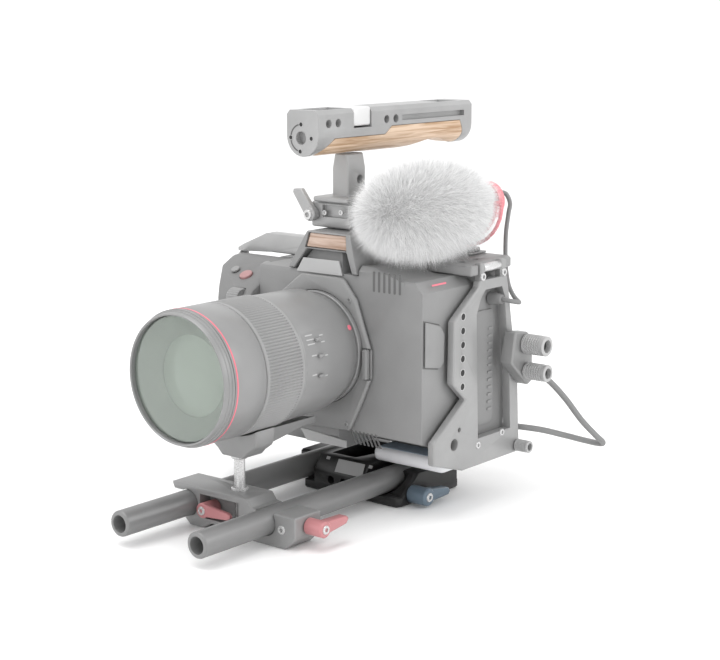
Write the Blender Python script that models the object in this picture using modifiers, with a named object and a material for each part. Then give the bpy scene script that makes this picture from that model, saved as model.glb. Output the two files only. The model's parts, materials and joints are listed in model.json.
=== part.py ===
"""A cinema camera on rods, with cage, top handle, lens support and microphone. Metres, +Z up.

The origin is on the resting surface, under the middle of the base plate. The lens looks along -Y,
and +X is the camera's left-hand side. Places along the rig are distances from that origin.
"""

import math

import bpy
import bmesh
from mathutils import Matrix, Vector

GAP = 0.0003  # clearance between two neighbouring pieces

# Rods and base plate
ROD_DIAMETER = 0.015
ROD_SPACING = 0.060
ROD_LENGTH = 0.200
ROD_HEIGHT = 0.013  # rod axes above the resting surface
ROD_FRONT = -0.180
ROD_SOCKET = 0.010  # threaded socket in each rod end, as a plain bore
ROD_FIT = 0.0004  # radial clearance of a rod in its clamp
BASE_HEIGHT = 0.022
BASE_FRONT = -0.026
BASE_REAR = 0.035
BASE_SIDE = 0.047
PLATE_THICKNESS = 0.0087
PLATE_LEFT = 0.0165
PLATE_RIGHT = 0.0700
PLATE_FRONT = -0.0130
PLATE_REAR = 0.0200

# Camera body
BODY_LEFT = -0.095
BODY_RIGHT = 0.075
BODY_FRONT = -0.041
BODY_REAR = 0.042
BODY_HEIGHT = 0.107
BODY_SPLIT = 0.008  # plane where the front shell meets the rear shell
BODY_WALL = 0.0022
HUMP_HEIGHT = 0.0127
CAGE_FLOOR = 0.0024  # thickness of the cage's bottom plate

# Lens
LENS_RISE = 0.0832  # lens axis above the rod axes
LENS_RADIUS = 0.0384
LENS_WALL = 0.003
LENS_FRONT = -0.1632
MOUNT_FACE = -0.0478  # plane of the lens mount

# Microphone
MIC_RADIUS = 0.0095
FUR_RADIUS = 0.024
FUR_HALF = 0.0525  # half the windscreen's length

# Handle
HANDLE_WIDTH = 0.024
HANDLE_FRONT = -0.0575
HANDLE_REAR = 0.094
HANDLE_HEIGHT = 0.0268
HANDLE_RISE = 0.0290  # from the clamp to the handle's underside

# Places that follow from the values above
ROD_RADIUS = ROD_DIAMETER / 2
ROD_X = ROD_SPACING / 2
PLATE_BOTTOM = BASE_HEIGHT + GAP
PLATE_TOP = PLATE_BOTTOM + PLATE_THICKNESS
CAGE_BOTTOM = PLATE_TOP + GAP
BODY_BOTTOM = CAGE_BOTTOM + CAGE_FLOOR + GAP
BODY_TOP = BODY_BOTTOM + BODY_HEIGHT
HUMP_TOP = BODY_TOP + HUMP_HEIGHT
LENS_Z = ROD_HEIGHT + LENS_RISE
DECK = BODY_TOP + GAP  # underside of the cage's top pieces

PARTS = "cinema_camera_rig"
HELPERS = "cutters"


# ---------------------------------------------------------------- making and placing

def start_scene():
    for old in list(bpy.data.objects):
        bpy.data.objects.remove(old, do_unlink=True)
    for title in (PARTS, HELPERS):
        group = bpy.data.collections.new(title)
        bpy.context.scene.collection.children.link(group)


def finish_of(title, colour, roughness, metallic):
    """The named Principled material, made on first use."""
    found = bpy.data.materials.get(title)
    if found:
        return found
    made = bpy.data.materials.new(title)
    made.use_nodes = True
    shader = made.node_tree.nodes["Principled BSDF"]
    shader.inputs["Base Color"].default_value = (*colour, 1)
    shader.inputs["Roughness"].default_value = roughness
    shader.inputs["Metallic"].default_value = metallic
    return made


def anodised(shade=0.30):
    return finish_of(f"anodised_{round(shade * 100)}", (shade, shade, shade), 0.45, 0.6)


def moulded(shade=0.30):
    return finish_of(f"moulded_{round(shade * 100)}", (shade, shade, shade), 0.6, 0.0)


def steel():
    return finish_of("steel", (0.62, 0.62, 0.62), 0.3, 1.0)


def black_metal():
    return finish_of("black_metal", (0.02, 0.02, 0.022), 0.5, 0.4)


def red_metal():
    return finish_of("red_metal", (0.55, 0.20, 0.21), 0.35, 0.6)


def blue_metal():
    return finish_of("blue_metal", (0.18, 0.24, 0.29), 0.4, 0.4)


def wood():
    return finish_of("wood", (0.62, 0.42, 0.28), 0.6, 0.0)


def glass():
    return finish_of("glass", (0.30, 0.34, 0.31), 0.05, 0.0)


def add(name, mesh, pivot, material=None):
    """A mesh given in world coordinates becomes an object whose origin is the pivot."""
    mesh.transform(Matrix.Translation(-Vector(pivot)))
    made = bpy.data.objects.new(name, mesh)
    made.location = pivot
    if material:
        mesh.materials.append(material)
    bpy.data.collections[PARTS].objects.link(made)
    return made


def mesh_from(work, name):
    """The finished bmesh as a mesh, its round sides shaded smooth."""
    mesh = bpy.data.meshes.new(name)
    work.to_mesh(mesh)
    work.free()
    mesh.shade_smooth()
    mesh.set_sharp_from_angle(angle=math.radians(32))
    return mesh


def box(name, low, high, material=None, pivot=None):
    """A box between two corners."""
    low, high = Vector(low), Vector(high)
    middle = (low + high) / 2
    work = bmesh.new()
    place = Matrix.Translation(middle) @ Matrix.Diagonal((*(high - low), 1))
    bmesh.ops.create_cube(work, size=1, matrix=place)
    return add(name, mesh_from(work, name), pivot or middle, material)


def cylinder(name, start, end, radius, material=None, sides=32, end_radius=None, pivot=None):
    """A cylinder or cone between two points."""
    start, end = Vector(start), Vector(end)
    along = end - start
    turn = along.to_track_quat("Z", "Y").to_matrix().to_4x4()
    place = Matrix.Translation((start + end) / 2) @ turn
    work = bmesh.new()
    bmesh.ops.create_cone(
        work, cap_ends=True, segments=sides, radius1=radius, depth=along.length,
        radius2=radius if end_radius is None else end_radius, matrix=place)
    return add(name, mesh_from(work, name), pivot or (start + end) / 2, material)


def ellipsoid(name, middle, radii, material=None, around=32, along=20):
    """An ellipsoid with its poles on the Y axis."""
    work = bmesh.new()
    place = Matrix.Translation(middle) @ Matrix.Diagonal((*radii, 1)) @ Matrix.Rotation(math.pi / 2, 4, "X")
    bmesh.ops.create_uvsphere(work, u_segments=around, v_segments=along, radius=1, matrix=place)
    return add(name, mesh_from(work, name), middle, material)


def turned(name, profile, axis_point, facing, material=None, steps=48):
    """A ring or knob turned about an axis. The profile's points are (distance along, radius)."""
    mesh = bpy.data.meshes.new(name)
    nexts = [*profile[1:], profile[0]]
    if sum(z * r_next - z_next * r for (z, r), (z_next, r_next) in zip(profile, nexts)) < 0:
        profile = profile[::-1]  # the outer side has to run down, for its faces to point out
    points = [(radius, 0, along) for along, radius in profile]
    touches_axis = profile[0][1] == 0 and profile[-1][1] == 0
    edges = [(i, (i + 1) % len(points)) for i in range(len(points) - touches_axis)]
    mesh.from_pydata(points, edges, [])
    made = bpy.data.objects.new(name, mesh)
    bpy.data.collections[PARTS].objects.link(made)
    made.location = axis_point
    made.rotation_euler = Vector(facing).to_track_quat("Z", "Y").to_euler()
    screw = made.modifiers.new("turn", "SCREW")
    screw.steps = screw.render_steps = steps
    screw.use_merge_vertices = True
    screw.merge_threshold = 0.000001
    screw.use_smooth_shade = True
    if material:
        mesh.materials.append(material)
    return made


def slab(name, outline, low, high, across, material=None, pivot=None):
    """A flat outline with a thickness from low to high along one axis.

    across is X, Y or Z. The outline's points are (Y, Z), (X, Z) or (X, Y).
    """
    curve = bpy.data.curves.new(name, "CURVE")
    curve.dimensions = "2D"
    curve.fill_mode = "BOTH"
    curve.extrude = (high - low) / 2
    spline = curve.splines.new("POLY")
    spline.points.add(len(outline) - 1)
    for point, (u, v) in zip(spline.points, outline):
        point.co = (u, v, 0, 1)
    spline.use_cyclic_u = True
    turn = {
        "X": Matrix(((0, 0, 1), (1, 0, 0), (0, 1, 0))),
        "Y": Matrix(((1, 0, 0), (0, 0, -1), (0, 1, 0))),
        "Z": Matrix.Identity(3),
    }[across].to_4x4()
    shift = {"X": (1, 0, 0), "Y": (0, 1, 0), "Z": (0, 0, 1)}[across]
    place = Matrix.Translation(Vector(shift) * (low + high) / 2) @ turn
    mesh = solid_of_curve(curve, name)
    mesh.transform(place)
    middle = sum((v.co for v in mesh.vertices), Vector()) / len(mesh.vertices)
    return add(name, mesh, pivot or middle, material)


def solid_of_curve(curve, name):
    """The curve's closed mesh, its caps welded to its sides."""
    guide = bpy.data.objects.new(name + "_curve", curve)
    bpy.data.collections[HELPERS].objects.link(guide)
    bpy.context.view_layer.update()
    graph = bpy.context.evaluated_depsgraph_get()
    mesh = bpy.data.meshes.new_from_object(guide.evaluated_get(graph))
    bpy.data.objects.remove(guide, do_unlink=True)
    work = bmesh.new()
    work.from_mesh(mesh)
    bmesh.ops.remove_doubles(work, verts=work.verts, dist=0.000001)
    bmesh.ops.recalc_face_normals(work, faces=work.faces)
    work.to_mesh(mesh)
    work.free()
    mesh.name = name
    mesh.shade_smooth()
    mesh.set_sharp_from_angle(angle=math.radians(32))
    return mesh


def tube(name, route, diameter, material, spacing=2.5, closed=False):
    """A cord or bent wire along a smooth curve through the route's points."""
    points = smooth_path(route, diameter * spacing, closed)
    curve = bpy.data.curves.new(name, "CURVE")
    curve.dimensions = "3D"
    curve.bevel_depth = diameter / 2
    curve.bevel_resolution = 2
    curve.use_fill_caps = not closed
    spline = curve.splines.new("POLY")
    spline.points.add(len(points) - 1)
    for point, place in zip(spline.points, points):
        point.co = (*place, 1)
    spline.use_cyclic_u = closed
    return add(name, solid_of_curve(curve, name), points[0], material)


def smooth_path(route, step, closed=False):
    """Points about one step apart on the Catmull-Rom curve through the route."""
    route = [Vector(point) for point in route]
    if closed:
        ring = [route[-1], *route, route[0], route[1]]
    else:
        ring = [2 * route[0] - route[1], *route, 2 * route[-1] - route[-2]]
    found = []
    for before, start, end, after in zip(ring, ring[1:], ring[2:], ring[3:]):
        count = max(1, round((end - start).length / step))
        for i in range(count):
            t = i / count
            pull = 2 * start + (end - before) * t
            pull += (2 * before - 5 * start + 4 * end - after) * t**2
            pull += (3 * start - before - 3 * end + after) * t**3
            found.append(pull / 2)
    return found if closed else [*found, route[-1]]


# ---------------------------------------------------------------- changing a piece

def helper(piece):
    """Sets a piece aside as a cutter or as a shape that another one takes in."""
    for group in list(piece.users_collection):
        group.objects.unlink(piece)
    bpy.data.collections[HELPERS].objects.link(piece)
    piece.hide_render = True
    piece.display_type = "WIRE"
    return piece


def combine(piece, other, operation):
    change = piece.modifiers.new(operation.lower(), "BOOLEAN")
    change.operation = operation
    change.object = helper(other)
    change.solver = "EXACT"
    return piece


def cut(piece, *others):
    for other in others:
        combine(piece, other, "DIFFERENCE")
    return piece


def join(piece, *others):
    for other in others:
        combine(piece, other, "UNION")
    return piece


def soften(piece, width, segments=1, angle=32):
    """Rounds or chamfers the sharp edges."""
    change = piece.modifiers.new("soften", "BEVEL")
    change.width = width
    change.segments = segments
    change.limit_method = "ANGLE"
    change.angle_limit = math.radians(angle)
    return piece


def inset(outline, distance):
    """The outline moved inwards by the distance. It runs anticlockwise."""
    moved = []
    count = len(outline)
    for i in range(count):
        a, b, c = (Vector(outline[(i + k) % count]) for k in (-1, 0, 1))
        into = [Vector((-(q - p).y, (q - p).x)).normalized() for p, q in ((a, b), (b, c))]
        miter = (into[0] + into[1]).normalized()
        moved.append(b + miter * distance / miter.dot(into[0]))
    return [tuple(point) for point in moved]


def arc(middle, radius, start, end, count):
    """Points on a circle's arc, by angle in degrees."""
    turns = (math.radians(start + (end - start) * i / (count - 1)) for i in range(count))
    return [(middle[0] + radius * math.cos(t), middle[1] + radius * math.sin(t)) for t in turns]


def bore_y(name, x, z, radius, front, rear, sides=24):
    return cylinder(name, (x, front, z), (x, rear, z), radius, sides=sides)


# ---------------------------------------------------------------- rods and base plate

def make_rods():
    for side, x in (("left", ROD_X), ("right", -ROD_X)):
        rear = ROD_FRONT + ROD_LENGTH
        rod = cylinder(f"rod_{side}", (x, ROD_FRONT, ROD_HEIGHT), (x, rear, ROD_HEIGHT),
                       ROD_RADIUS, anodised(0.34), 32)
        soften(rod, 0.0009, angle=60)
        depth = 0.014
        for end, mouth in (("front", ROD_FRONT), ("rear", rear)):
            cut(rod, bore_y(f"rod_{side}_{end}_socket", x, ROD_HEIGHT, ROD_SOCKET / 2,
                            mouth - depth, mouth + depth))


def make_base_plate():
    """A block on the rods: low jaws reach forward under each rod, and the block's front leans back."""
    jaw = ROD_HEIGHT - ROD_RADIUS  # underside of a rod
    side = BASE_SIDE
    inner = ROD_X - 0.010  # half width of the block between the rods
    ramp = BASE_FRONT + 0.018  # where the outer walls reach their height
    low_plan = [(-ROD_X + 0.002, BASE_FRONT), (side - 0.002, BASE_FRONT), (side, BASE_FRONT + 0.004),
                (side, BASE_REAR), (-side, BASE_REAR), (-side, ramp), (-ROD_X + 0.002, ramp)]
    core_side = [(BASE_FRONT, 0.001), (BASE_REAR, 0.001), (BASE_REAR, BASE_HEIGHT),
                 (BASE_FRONT + 0.006, BASE_HEIGHT), (BASE_FRONT, ROD_HEIGHT)]
    wall_side = [(BASE_FRONT + 0.001, 0.001), (BASE_REAR, 0.001), (BASE_REAR, BASE_HEIGHT - 0.004),
                 (ramp, BASE_HEIGHT - 0.004), (BASE_FRONT + 0.004, jaw + 0.001)]
    plate = slab("baseplate_body", low_plan, 0, jaw + 0.001, "Z", black_metal())
    soften(plate, 0.0012)
    join(plate, soften(slab("base_core", core_side, -inner, inner, "X"), 0.0008))
    join(plate, soften(slab("base_left_wall", wall_side, inner - 0.001, side, "X"), 0.0015))
    join(plate, soften(box("base_right_wall", (-side, ramp, 0.001),
                           (-inner + 0.001, BASE_REAR, BASE_HEIGHT - 0.004)), 0.0015))
    for side_name, x in (("left", ROD_X), ("right", -ROD_X)):
        cut(plate, bore_y(f"base_bore_{side_name}", x, ROD_HEIGHT, ROD_RADIUS + ROD_FIT,
                          BASE_FRONT - 0.010, BASE_REAR + 0.010, 40))
        cut(plate, bore_y(f"base_seat_{side_name}", x * 1.03, ROD_HEIGHT + 0.003, ROD_RADIUS + 0.0035,
                          BASE_FRONT - 0.010, ramp, 32))
        cut(plate, box(f"base_slot_{side_name}", (min(x, x * 0.9), BASE_FRONT - 0.010, ROD_HEIGHT),
                       (max(x, x * 0.9), BASE_REAR + 0.010, BASE_HEIGHT + 0.010)))
    pocket = [(-0.015, -0.014), (0.004, -0.014), (0.009, 0.004), (0.009, 0.026), (-0.015, 0.026)]
    cut(plate, slab("base_pocket", pocket, BASE_HEIGHT - 0.009, BASE_HEIGHT + 0.010, "Z"))
    for i, x in enumerate((-0.006, 0.004, 0.014)):
        cut(plate, bore_y(f"base_screw_hole_{i}", x, 0.0085, 0.0026, BASE_FRONT - 0.010,
                          BASE_FRONT + 0.008, 16))


def make_base_lever():
    """A clamping lever on the base plate's left side, turning about X."""
    y, z = -0.0140, 0.0070
    inner = BASE_SIDE + GAP
    outer = inner + 0.0137
    lever = cylinder("base_lever", (inner, y, z), (outer, y, z), 0.0055, blue_metal(), 24)
    soften(lever, 0.0008, angle=60)
    side = [(y, z - 0.0040), (y + 0.0215, z - 0.0034), (y + 0.0235, z - 0.0010),
            (y + 0.0215, z + 0.0014), (y, z + 0.0048)]
    join(lever, soften(slab("base_lever_arm", side, outer - 0.0075, outer - 0.0012, "X"), 0.0008))


def make_quick_release_plate():
    plate = box("quick_release_plate", (PLATE_LEFT, PLATE_FRONT, PLATE_BOTTOM),
                (PLATE_RIGHT, PLATE_REAR, PLATE_TOP),
                finish_of("pale_plate", (0.62, 0.66, 0.72), 0.45, 0.1))
    soften(plate, 0.0034, 3)


# ---------------------------------------------------------------- lens support

SUPPORT_FRONT = -0.126
SUPPORT_REAR = -0.104
CRADLE_CLEARANCE = 0.0010  # between the cradle and the lens barrel
CRADLE_DEPTH = 0.0140  # from the lens barrel's underside to the top of the post


def make_support_clamp():
    """A block on both rods: open to the far rod's outer side, open over the near rod."""
    under = ROD_HEIGHT - ROD_RADIUS
    over = ROD_HEIGHT + ROD_RADIUS
    outline = [(-0.0420, over + 0.0008), (-0.0380, ROD_HEIGHT), (-0.0345, under + 0.0005),
               (-0.0320, under - 0.003),
               (-0.0290, 0), (-0.0180, 0), (-0.0120, 0.0035), (0.0130, 0.0035), (0.0180, 0),
               (0.0450, 0), (0.0525, 0.0070), (0.0525, over - 0.0015), (0.0200, over - 0.0015),
               (0.0165, over + 0.0032), (-0.0430, over + 0.0032)]
    clamp = slab("support_clamp", outline, SUPPORT_FRONT, SUPPORT_REAR, "Y", anodised(0.33))
    soften(clamp, 0.0006)
    front, rear = SUPPORT_FRONT - 0.010, SUPPORT_REAR + 0.010
    for side, x in (("left", ROD_X), ("right", -ROD_X)):
        cut(clamp, bore_y(f"support_bore_{side}", x, ROD_HEIGHT, ROD_RADIUS + ROD_FIT, front, rear, 40))
    opening = ROD_RADIUS - 0.0006  # half the mouth through which a rod drops in
    cut(clamp, box("support_open_right", (-0.060, front, ROD_HEIGHT - opening),
                   (-ROD_X, rear, ROD_HEIGHT + opening)))
    cut(clamp, box("support_open_left", (ROD_X - opening, front, ROD_HEIGHT),
                   (ROD_X + opening, rear, 0.030)))
    cut(clamp, box("support_lever_recess", (-0.0205, front, 0.0060),
                   (0.0100, SUPPORT_FRONT + 0.0085, over - 0.0005)))
    cut(clamp, cylinder("support_post_hole", (0, POST_Y, 0.002), (0, POST_Y, 0.040),
                        POST_RADIUS + ROD_FIT, sides=24))


POST_Y = -0.1140
POST_RADIUS = 0.0032


def make_support_levers():
    """Two red levers: one turns about X beside the near rod, the other about Y in the front recess."""
    hub_x = 0.0525 + GAP
    y, z = -0.1150, 0.0127
    side = cylinder("support_side_lever", (hub_x, y, z), (hub_x + 0.0125, y, z), 0.0048, red_metal(), 24)
    soften(side, 0.0006, angle=60)
    arm = [(y, z - 0.0036), (y + 0.0190, z - 0.0012), (y + 0.0212, z + 0.0018),
           (y + 0.0190, z + 0.0036), (y, z + 0.0042)]
    join(side, soften(slab("support_side_arm", arm, hub_x + 0.0062, hub_x + 0.0118, "X"), 0.0006))
    x, z = -0.0155, 0.0115
    front_face = SUPPORT_FRONT + 0.0085 - GAP
    front = cylinder("support_front_lever", (x, front_face, z), (x, front_face - 0.0120, z), 0.0045,
                     red_metal(), 24)
    soften(front, 0.0006, angle=60)
    arm = [(x, z - 0.0036), (x + 0.0200, z - 0.0022), (x + 0.0220, z), (x + 0.0200, z + 0.0020),
           (x, z + 0.0040)]
    join(front, soften(slab("support_front_arm", arm, front_face - 0.0118, front_face - 0.0087, "Y"),
                       0.0006))


def make_support_post():
    foot, head = 0.0060, LENS_Z - LENS_RADIUS - CRADLE_DEPTH
    post = cylinder("support_post", (0, POST_Y, foot), (0, POST_Y, head), POST_RADIUS, steel(), 24)
    soften(post, 0.0004, angle=60)


def make_lens_cradle():
    """A shallow V under the lens, with a tongue that reaches back beneath it."""
    low = LENS_Z - LENS_RADIUS - CRADLE_DEPTH + GAP
    top = LENS_Z - LENS_RADIUS + 0.0030
    outline = [(-0.0085, low), (0.0085, low), (0.0120, low + 0.0035), (0.0175, low + 0.0075),
               (0.0195, top + 0.0040), (-0.0195, top + 0.0040), (-0.0175, low + 0.0075),
               (-0.0120, low + 0.0035)]
    front, rear = POST_Y - 0.0060, POST_Y + 0.0100
    cradle = slab("lens_cradle", outline, front, rear, "Y", anodised(0.36))
    soften(cradle, 0.0008)
    tongue = [(rear - 0.006, low + 0.004), (-0.0700, top - 0.0065), (-0.0600, top - 0.0065),
              (-0.0600, top + 0.0010), (rear - 0.006, top + 0.0010)]
    join(cradle, slab("cradle_tongue", tongue, -0.0110, 0.0110, "X"))
    cut(cradle, bore_y("cradle_seat", 0, LENS_Z, LENS_RADIUS + CRADLE_CLEARANCE, front - 0.010, -0.040, 96))


# ---------------------------------------------------------------- camera

def body_elevation():
    """The body's outline from the front, anticlockwise, with the hump over the lens."""
    return [(-0.080, BODY_BOTTOM), (BODY_RIGHT - 0.004, BODY_BOTTOM), (BODY_RIGHT, BODY_BOTTOM + 0.005),
            (BODY_RIGHT, BODY_TOP - 0.006), (BODY_RIGHT - 0.006, BODY_TOP), (0.0155, BODY_TOP),
            (0.0125, HUMP_TOP), (-0.0095, HUMP_TOP), (-0.0200, BODY_TOP), (-0.060, BODY_TOP),
            (BODY_LEFT + 0.006, BODY_TOP - 0.008), (BODY_LEFT, BODY_TOP - 0.016),
            (BODY_LEFT, BODY_BOTTOM + 0.016)]


def body_profile():
    """The body's outline from the side, with a chin below the lens and a hump that leans back."""
    return [(BODY_FRONT + 0.0075, BODY_BOTTOM), (BODY_REAR - 0.003, BODY_BOTTOM),
            (BODY_REAR, BODY_BOTTOM + 0.003),
            (BODY_REAR, BODY_TOP), (BODY_SPLIT + 0.014, HUMP_TOP), (BODY_FRONT + 0.0045, HUMP_TOP),
            (BODY_FRONT, BODY_TOP - 0.003), (BODY_FRONT, BODY_BOTTOM + 0.0080)]


def body_form(name, wall, material=None):
    """The whole body as a solid, or its inside where wall is the shell's thickness."""
    front_view = inset(body_elevation(), wall)
    side_view = inset(body_profile(), wall)
    form = slab(name, front_view, BODY_FRONT - 0.01, BODY_REAR + 0.01, "Y", material)
    combine(form, slab(name + "_side", side_view, BODY_LEFT - 0.01, BODY_RIGHT + 0.01, "X"), "INTERSECT")
    return form


MOUNT_BORE = 0.0250
SHOULDER_LEFT = 0.0285
UNDERCUT_LEFT = 0.0130
UNDERCUT_RISE = 0.0130  # height of the cut at the body's front
UNDERCUT_REAR = 0.0010
GRIP_RIGHT = -0.0500
GRIP_BACK = -0.0080
GRIP_FRONT = -0.0540
SLOPE_FRONT = -0.0465  # the sloping top runs from here back to SLOPE_BACK
SLOPE_BACK = -0.0180
GRIP_TOP = BODY_TOP - 0.0155
BUTTON_TRAVEL = 0.0006
BATTERY = ((-0.0890, -0.0330, BODY_BOTTOM + 0.018), (-0.0530, -0.0125, BODY_TOP - 0.0182))
SOCKET_Y = 0.0255
SOCKET_Z = BODY_TOP - 0.0165


def undercut(name, wall):
    """The room above the quick-release plate's front: a wedge off the body's lower edge."""
    rear, low = UNDERCUT_REAR + wall, BODY_BOTTOM + wall
    side = [(BODY_FRONT - 0.02, 0), (rear, 0), (rear, low), (BODY_FRONT, low + UNDERCUT_RISE),
            (BODY_FRONT - 0.02, low + UNDERCUT_RISE)]
    return slab(name, side, UNDERCUT_LEFT - wall, 0.1, "X")


def make_housings():
    """Two shells that meet on a plane across the body."""
    far = 0.2
    front = body_form("camera_front_housing", 0, moulded(0.27))
    cut(front, box("grip_room", (-far, -far, -far), (GRIP_RIGHT + GAP, GRIP_BACK + GAP, far)))
    inside = body_form("front_inside", BODY_WALL)
    cut(inside, box("grip_wall", (-far, -far, -far),
                    (GRIP_RIGHT + GAP + BODY_WALL, GRIP_BACK + GAP + BODY_WALL, far)))
    cut(inside, undercut("undercut_inside", BODY_WALL))
    cut(front, inside)
    cut(front, undercut("undercut", 0))
    cut(front, box("front_cut", (-far, BODY_SPLIT - GAP / 2, -far), (far, far, far)))
    cut(front, bore_y("front_mount_bore", 0, LENS_Z, MOUNT_BORE + 0.002, -0.1, BODY_FRONT + 0.008, 48))
    rear = body_form("camera_rear_housing", 0, moulded(0.26))
    cut(rear, body_form("rear_inside", BODY_WALL))
    cut(rear, box("rear_cut", (-far, -far, -far), (far, BODY_SPLIT + GAP / 2, far)))
    cut(rear, cylinder("mic_socket_hole", (BODY_RIGHT - 0.004, SOCKET_Y, SOCKET_Z),
                       (BODY_RIGHT + 0.004, SOCKET_Y, SOCKET_Z), 0.0030, sides=20))
    for i in range(8):
        x = -0.028 + 0.008 * i
        cut(rear, box(f"vent_{i}", (x - 0.0012, 0.014, BODY_BOTTOM - 0.004),
                      (x + 0.0012, 0.034, BODY_BOTTOM + 0.004)))
    shoulder = [(BODY_FRONT, BODY_TOP - 0.02), (-0.006, BODY_TOP - 0.02), (-0.006, BODY_TOP + 0.004),
                (BODY_FRONT + 0.003, BODY_TOP + 0.006), (BODY_FRONT, BODY_TOP + 0.003)]
    bulge = slab("shoulder", shoulder, SHOULDER_LEFT, 0.0620, "X")
    slope = [(0.0, BODY_TOP - 0.012), (0.070, BODY_TOP - 0.012), (0.066, BODY_TOP - 0.002),
             (0.040, BODY_TOP + 0.0055),
             (0.0, BODY_TOP + 0.008)]
    combine(bulge, slab("shoulder_slope", slope, BODY_FRONT - 0.01, 0.01, "Y"), "INTERSECT")
    join(front, bulge)


def make_grip():
    """The hand grip: its top slopes down to the front, its outer front corner is cut away for the fingers."""
    side = [(GRIP_FRONT + 0.006, BODY_BOTTOM + 0.004), (GRIP_BACK, BODY_BOTTOM + 0.001),
            (GRIP_BACK, BODY_TOP),
            (SLOPE_BACK, BODY_TOP - 0.001), (SLOPE_FRONT, GRIP_TOP), (GRIP_FRONT, GRIP_TOP - 0.008),
            (GRIP_FRONT, BODY_BOTTOM + 0.016)]
    grip = slab("grip", side, BODY_LEFT, GRIP_RIGHT, "X", moulded(0.28))
    plan = [(BODY_LEFT + 0.001, GRIP_BACK), (BODY_LEFT + 0.001, -0.0270), (BODY_LEFT + 0.0220, GRIP_FRONT),
            (GRIP_RIGHT - 0.003, GRIP_FRONT), (GRIP_RIGHT, GRIP_FRONT + 0.003), (GRIP_RIGHT, GRIP_BACK)]
    soften(grip, 0.0030, 2)
    combine(grip, soften(slab("grip_plan", plan, 0.0, 0.2, "Z"), 0.0020, 2), "INTERSECT")
    low, high = BATTERY
    cut(grip, box("battery_well", (low[0] - GAP, low[1] - GAP, 0),
                  (high[0] + GAP, high[1] + GAP, high[2] + GAP)))
    return grip


def on_grip(x, y):
    """A point on the grip's sloping top, and the direction that is square to it."""
    low, high = Vector((SLOPE_FRONT, GRIP_TOP)), Vector((SLOPE_BACK, BODY_TOP - 0.001))
    along = (high - low).normalized()
    z = low.y + (y - low.x) * along.y / along.x
    return Vector((x, y, z)), Vector((0, -along.y, along.x))


def make_grip_controls(grip):
    """Pressed buttons, a sliding switch and a wheel on the grip."""
    for name, x, y, radius, rise, material in (
            ("record_button", -0.0665, -0.0350, 0.0042, 0.0014,
             finish_of("button_red", (0.62, 0.18, 0.16), 0.4, 0.0)),
            ("stills_button", -0.0600, -0.0235, 0.0030, 0.0012, moulded(0.34))):
        seat, up = on_grip(x, y)
        well = 0.0035
        cut(grip, cylinder(name + "_well", seat - up * well, seat + up * 0.006, radius + GAP, sides=28))
        button = cylinder(name, seat - up * (well - GAP - BUTTON_TRAVEL), seat + up * rise, radius,
                          material, 28)
        soften(button, 0.0004, angle=60)
    seat, up = on_grip(-0.0780, -0.0320)
    switch = cylinder("power_switch", seat + up * GAP, seat + up * 0.0018, 0.0030, moulded(0.4), 20)
    soften(switch, 0.0004, angle=60)
    y, z, radius, half = GRIP_FRONT + 0.0048, GRIP_TOP - 0.0055, 0.0062, 0.0045
    x = -0.0610
    cut(grip, cylinder("wheel_well", (x - half - GAP, y, z), (x + half + GAP, y, z), radius + GAP,
                       sides=32))
    wheel = cylinder("control_wheel", (x - half, y, z), (x + half, y, z), radius, moulded(0.2), 32)
    soften(wheel, 0.0006, angle=60)


def make_mount():
    """The cover plate around the mount, the steel bayonet ring, the sensor and the release button."""
    low = BODY_FRONT - 0.0040
    outline = [(-0.0140, LENS_Z - 0.0500), (0.0240, LENS_Z - 0.0480), (0.0330, LENS_Z - 0.0300),
               (0.0400, LENS_Z - 0.0140), (0.0400, LENS_Z + 0.0020), (0.0290, LENS_Z + 0.0310),
               (0.0190, LENS_Z + 0.0430), (-0.0135, LENS_Z + 0.0430), (-0.0290, LENS_Z + 0.0310),
               (-0.0390, LENS_Z + 0.0060), (-0.0340, LENS_Z - 0.0300)]
    cover = slab("mount_plate", outline, low, BODY_FRONT - GAP, "Y", moulded(0.31))
    soften(cover, 0.0012)
    cut(cover, bore_y("mount_plate_bore", 0, LENS_Z, 0.0345, -0.1, 0.1, 64))
    ring_outer, bore = 0.0342, MOUNT_BORE
    ring = bore_y("lens_mount_ring", 0, LENS_Z, ring_outer, MOUNT_FACE, BODY_FRONT - GAP, 64)
    ring.data.materials.append(steel())
    soften(ring, 0.0004, angle=60)
    cut(ring, bore_y("ring_bore", 0, LENS_Z, bore, -0.1, 0.1, 48))
    x, z = 0.0372, LENS_Z - 0.0060
    cut(cover, box("release_well", (x - 0.0024, -0.1, z - 0.0095), (x + 0.0024, low + 0.0022, z + 0.0095)))
    release = box("lens_release_button", (x - 0.0020, low - 0.0024, z - 0.0090),
                  (x + 0.0020, low + 0.0016, z + 0.0090),
                  moulded(0.24))
    soften(release, 0.0008)
    sensor = box("image_sensor", (-0.0160, -0.0080, LENS_Z - 0.0120), (0.0160, -0.0055, LENS_Z + 0.0120),
                 finish_of("sensor", (0.05, 0.08, 0.07), 0.15, 0.0))
    soften(sensor, 0.0003)


def make_insides():
    """Circuit board, battery and cooling fan inside the shells."""
    box("main_board", (-0.040, 0.0015, BODY_BOTTOM + 0.030), (0.068, 0.0033, BODY_TOP - 0.008),
        finish_of("board", (0.02, 0.12, 0.06), 0.5, 0.0))
    soften(box("battery", *BATTERY, moulded(0.12)), 0.0015)
    z = BODY_BOTTOM + 0.0060
    hub = cylinder("fan_rotor", (0, 0.0240, z), (0, 0.0240, z + 0.0080), 0.0090, moulded(0.08), 24)
    for i in range(7):
        turn = 2 * math.pi * i / 7
        away = Vector((math.cos(turn), math.sin(turn), 0))
        side = Vector((-away.y, away.x, 0))
        centre = Vector((0, 0.0240, z + 0.0040))
        tip = 0.0148
        blade = cylinder(f"fan_blade_{i}", centre + away * 0.006, centre + away * tip + side * 0.002,
                         0.0032, sides=4)
        join(hub, blade)


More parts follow.
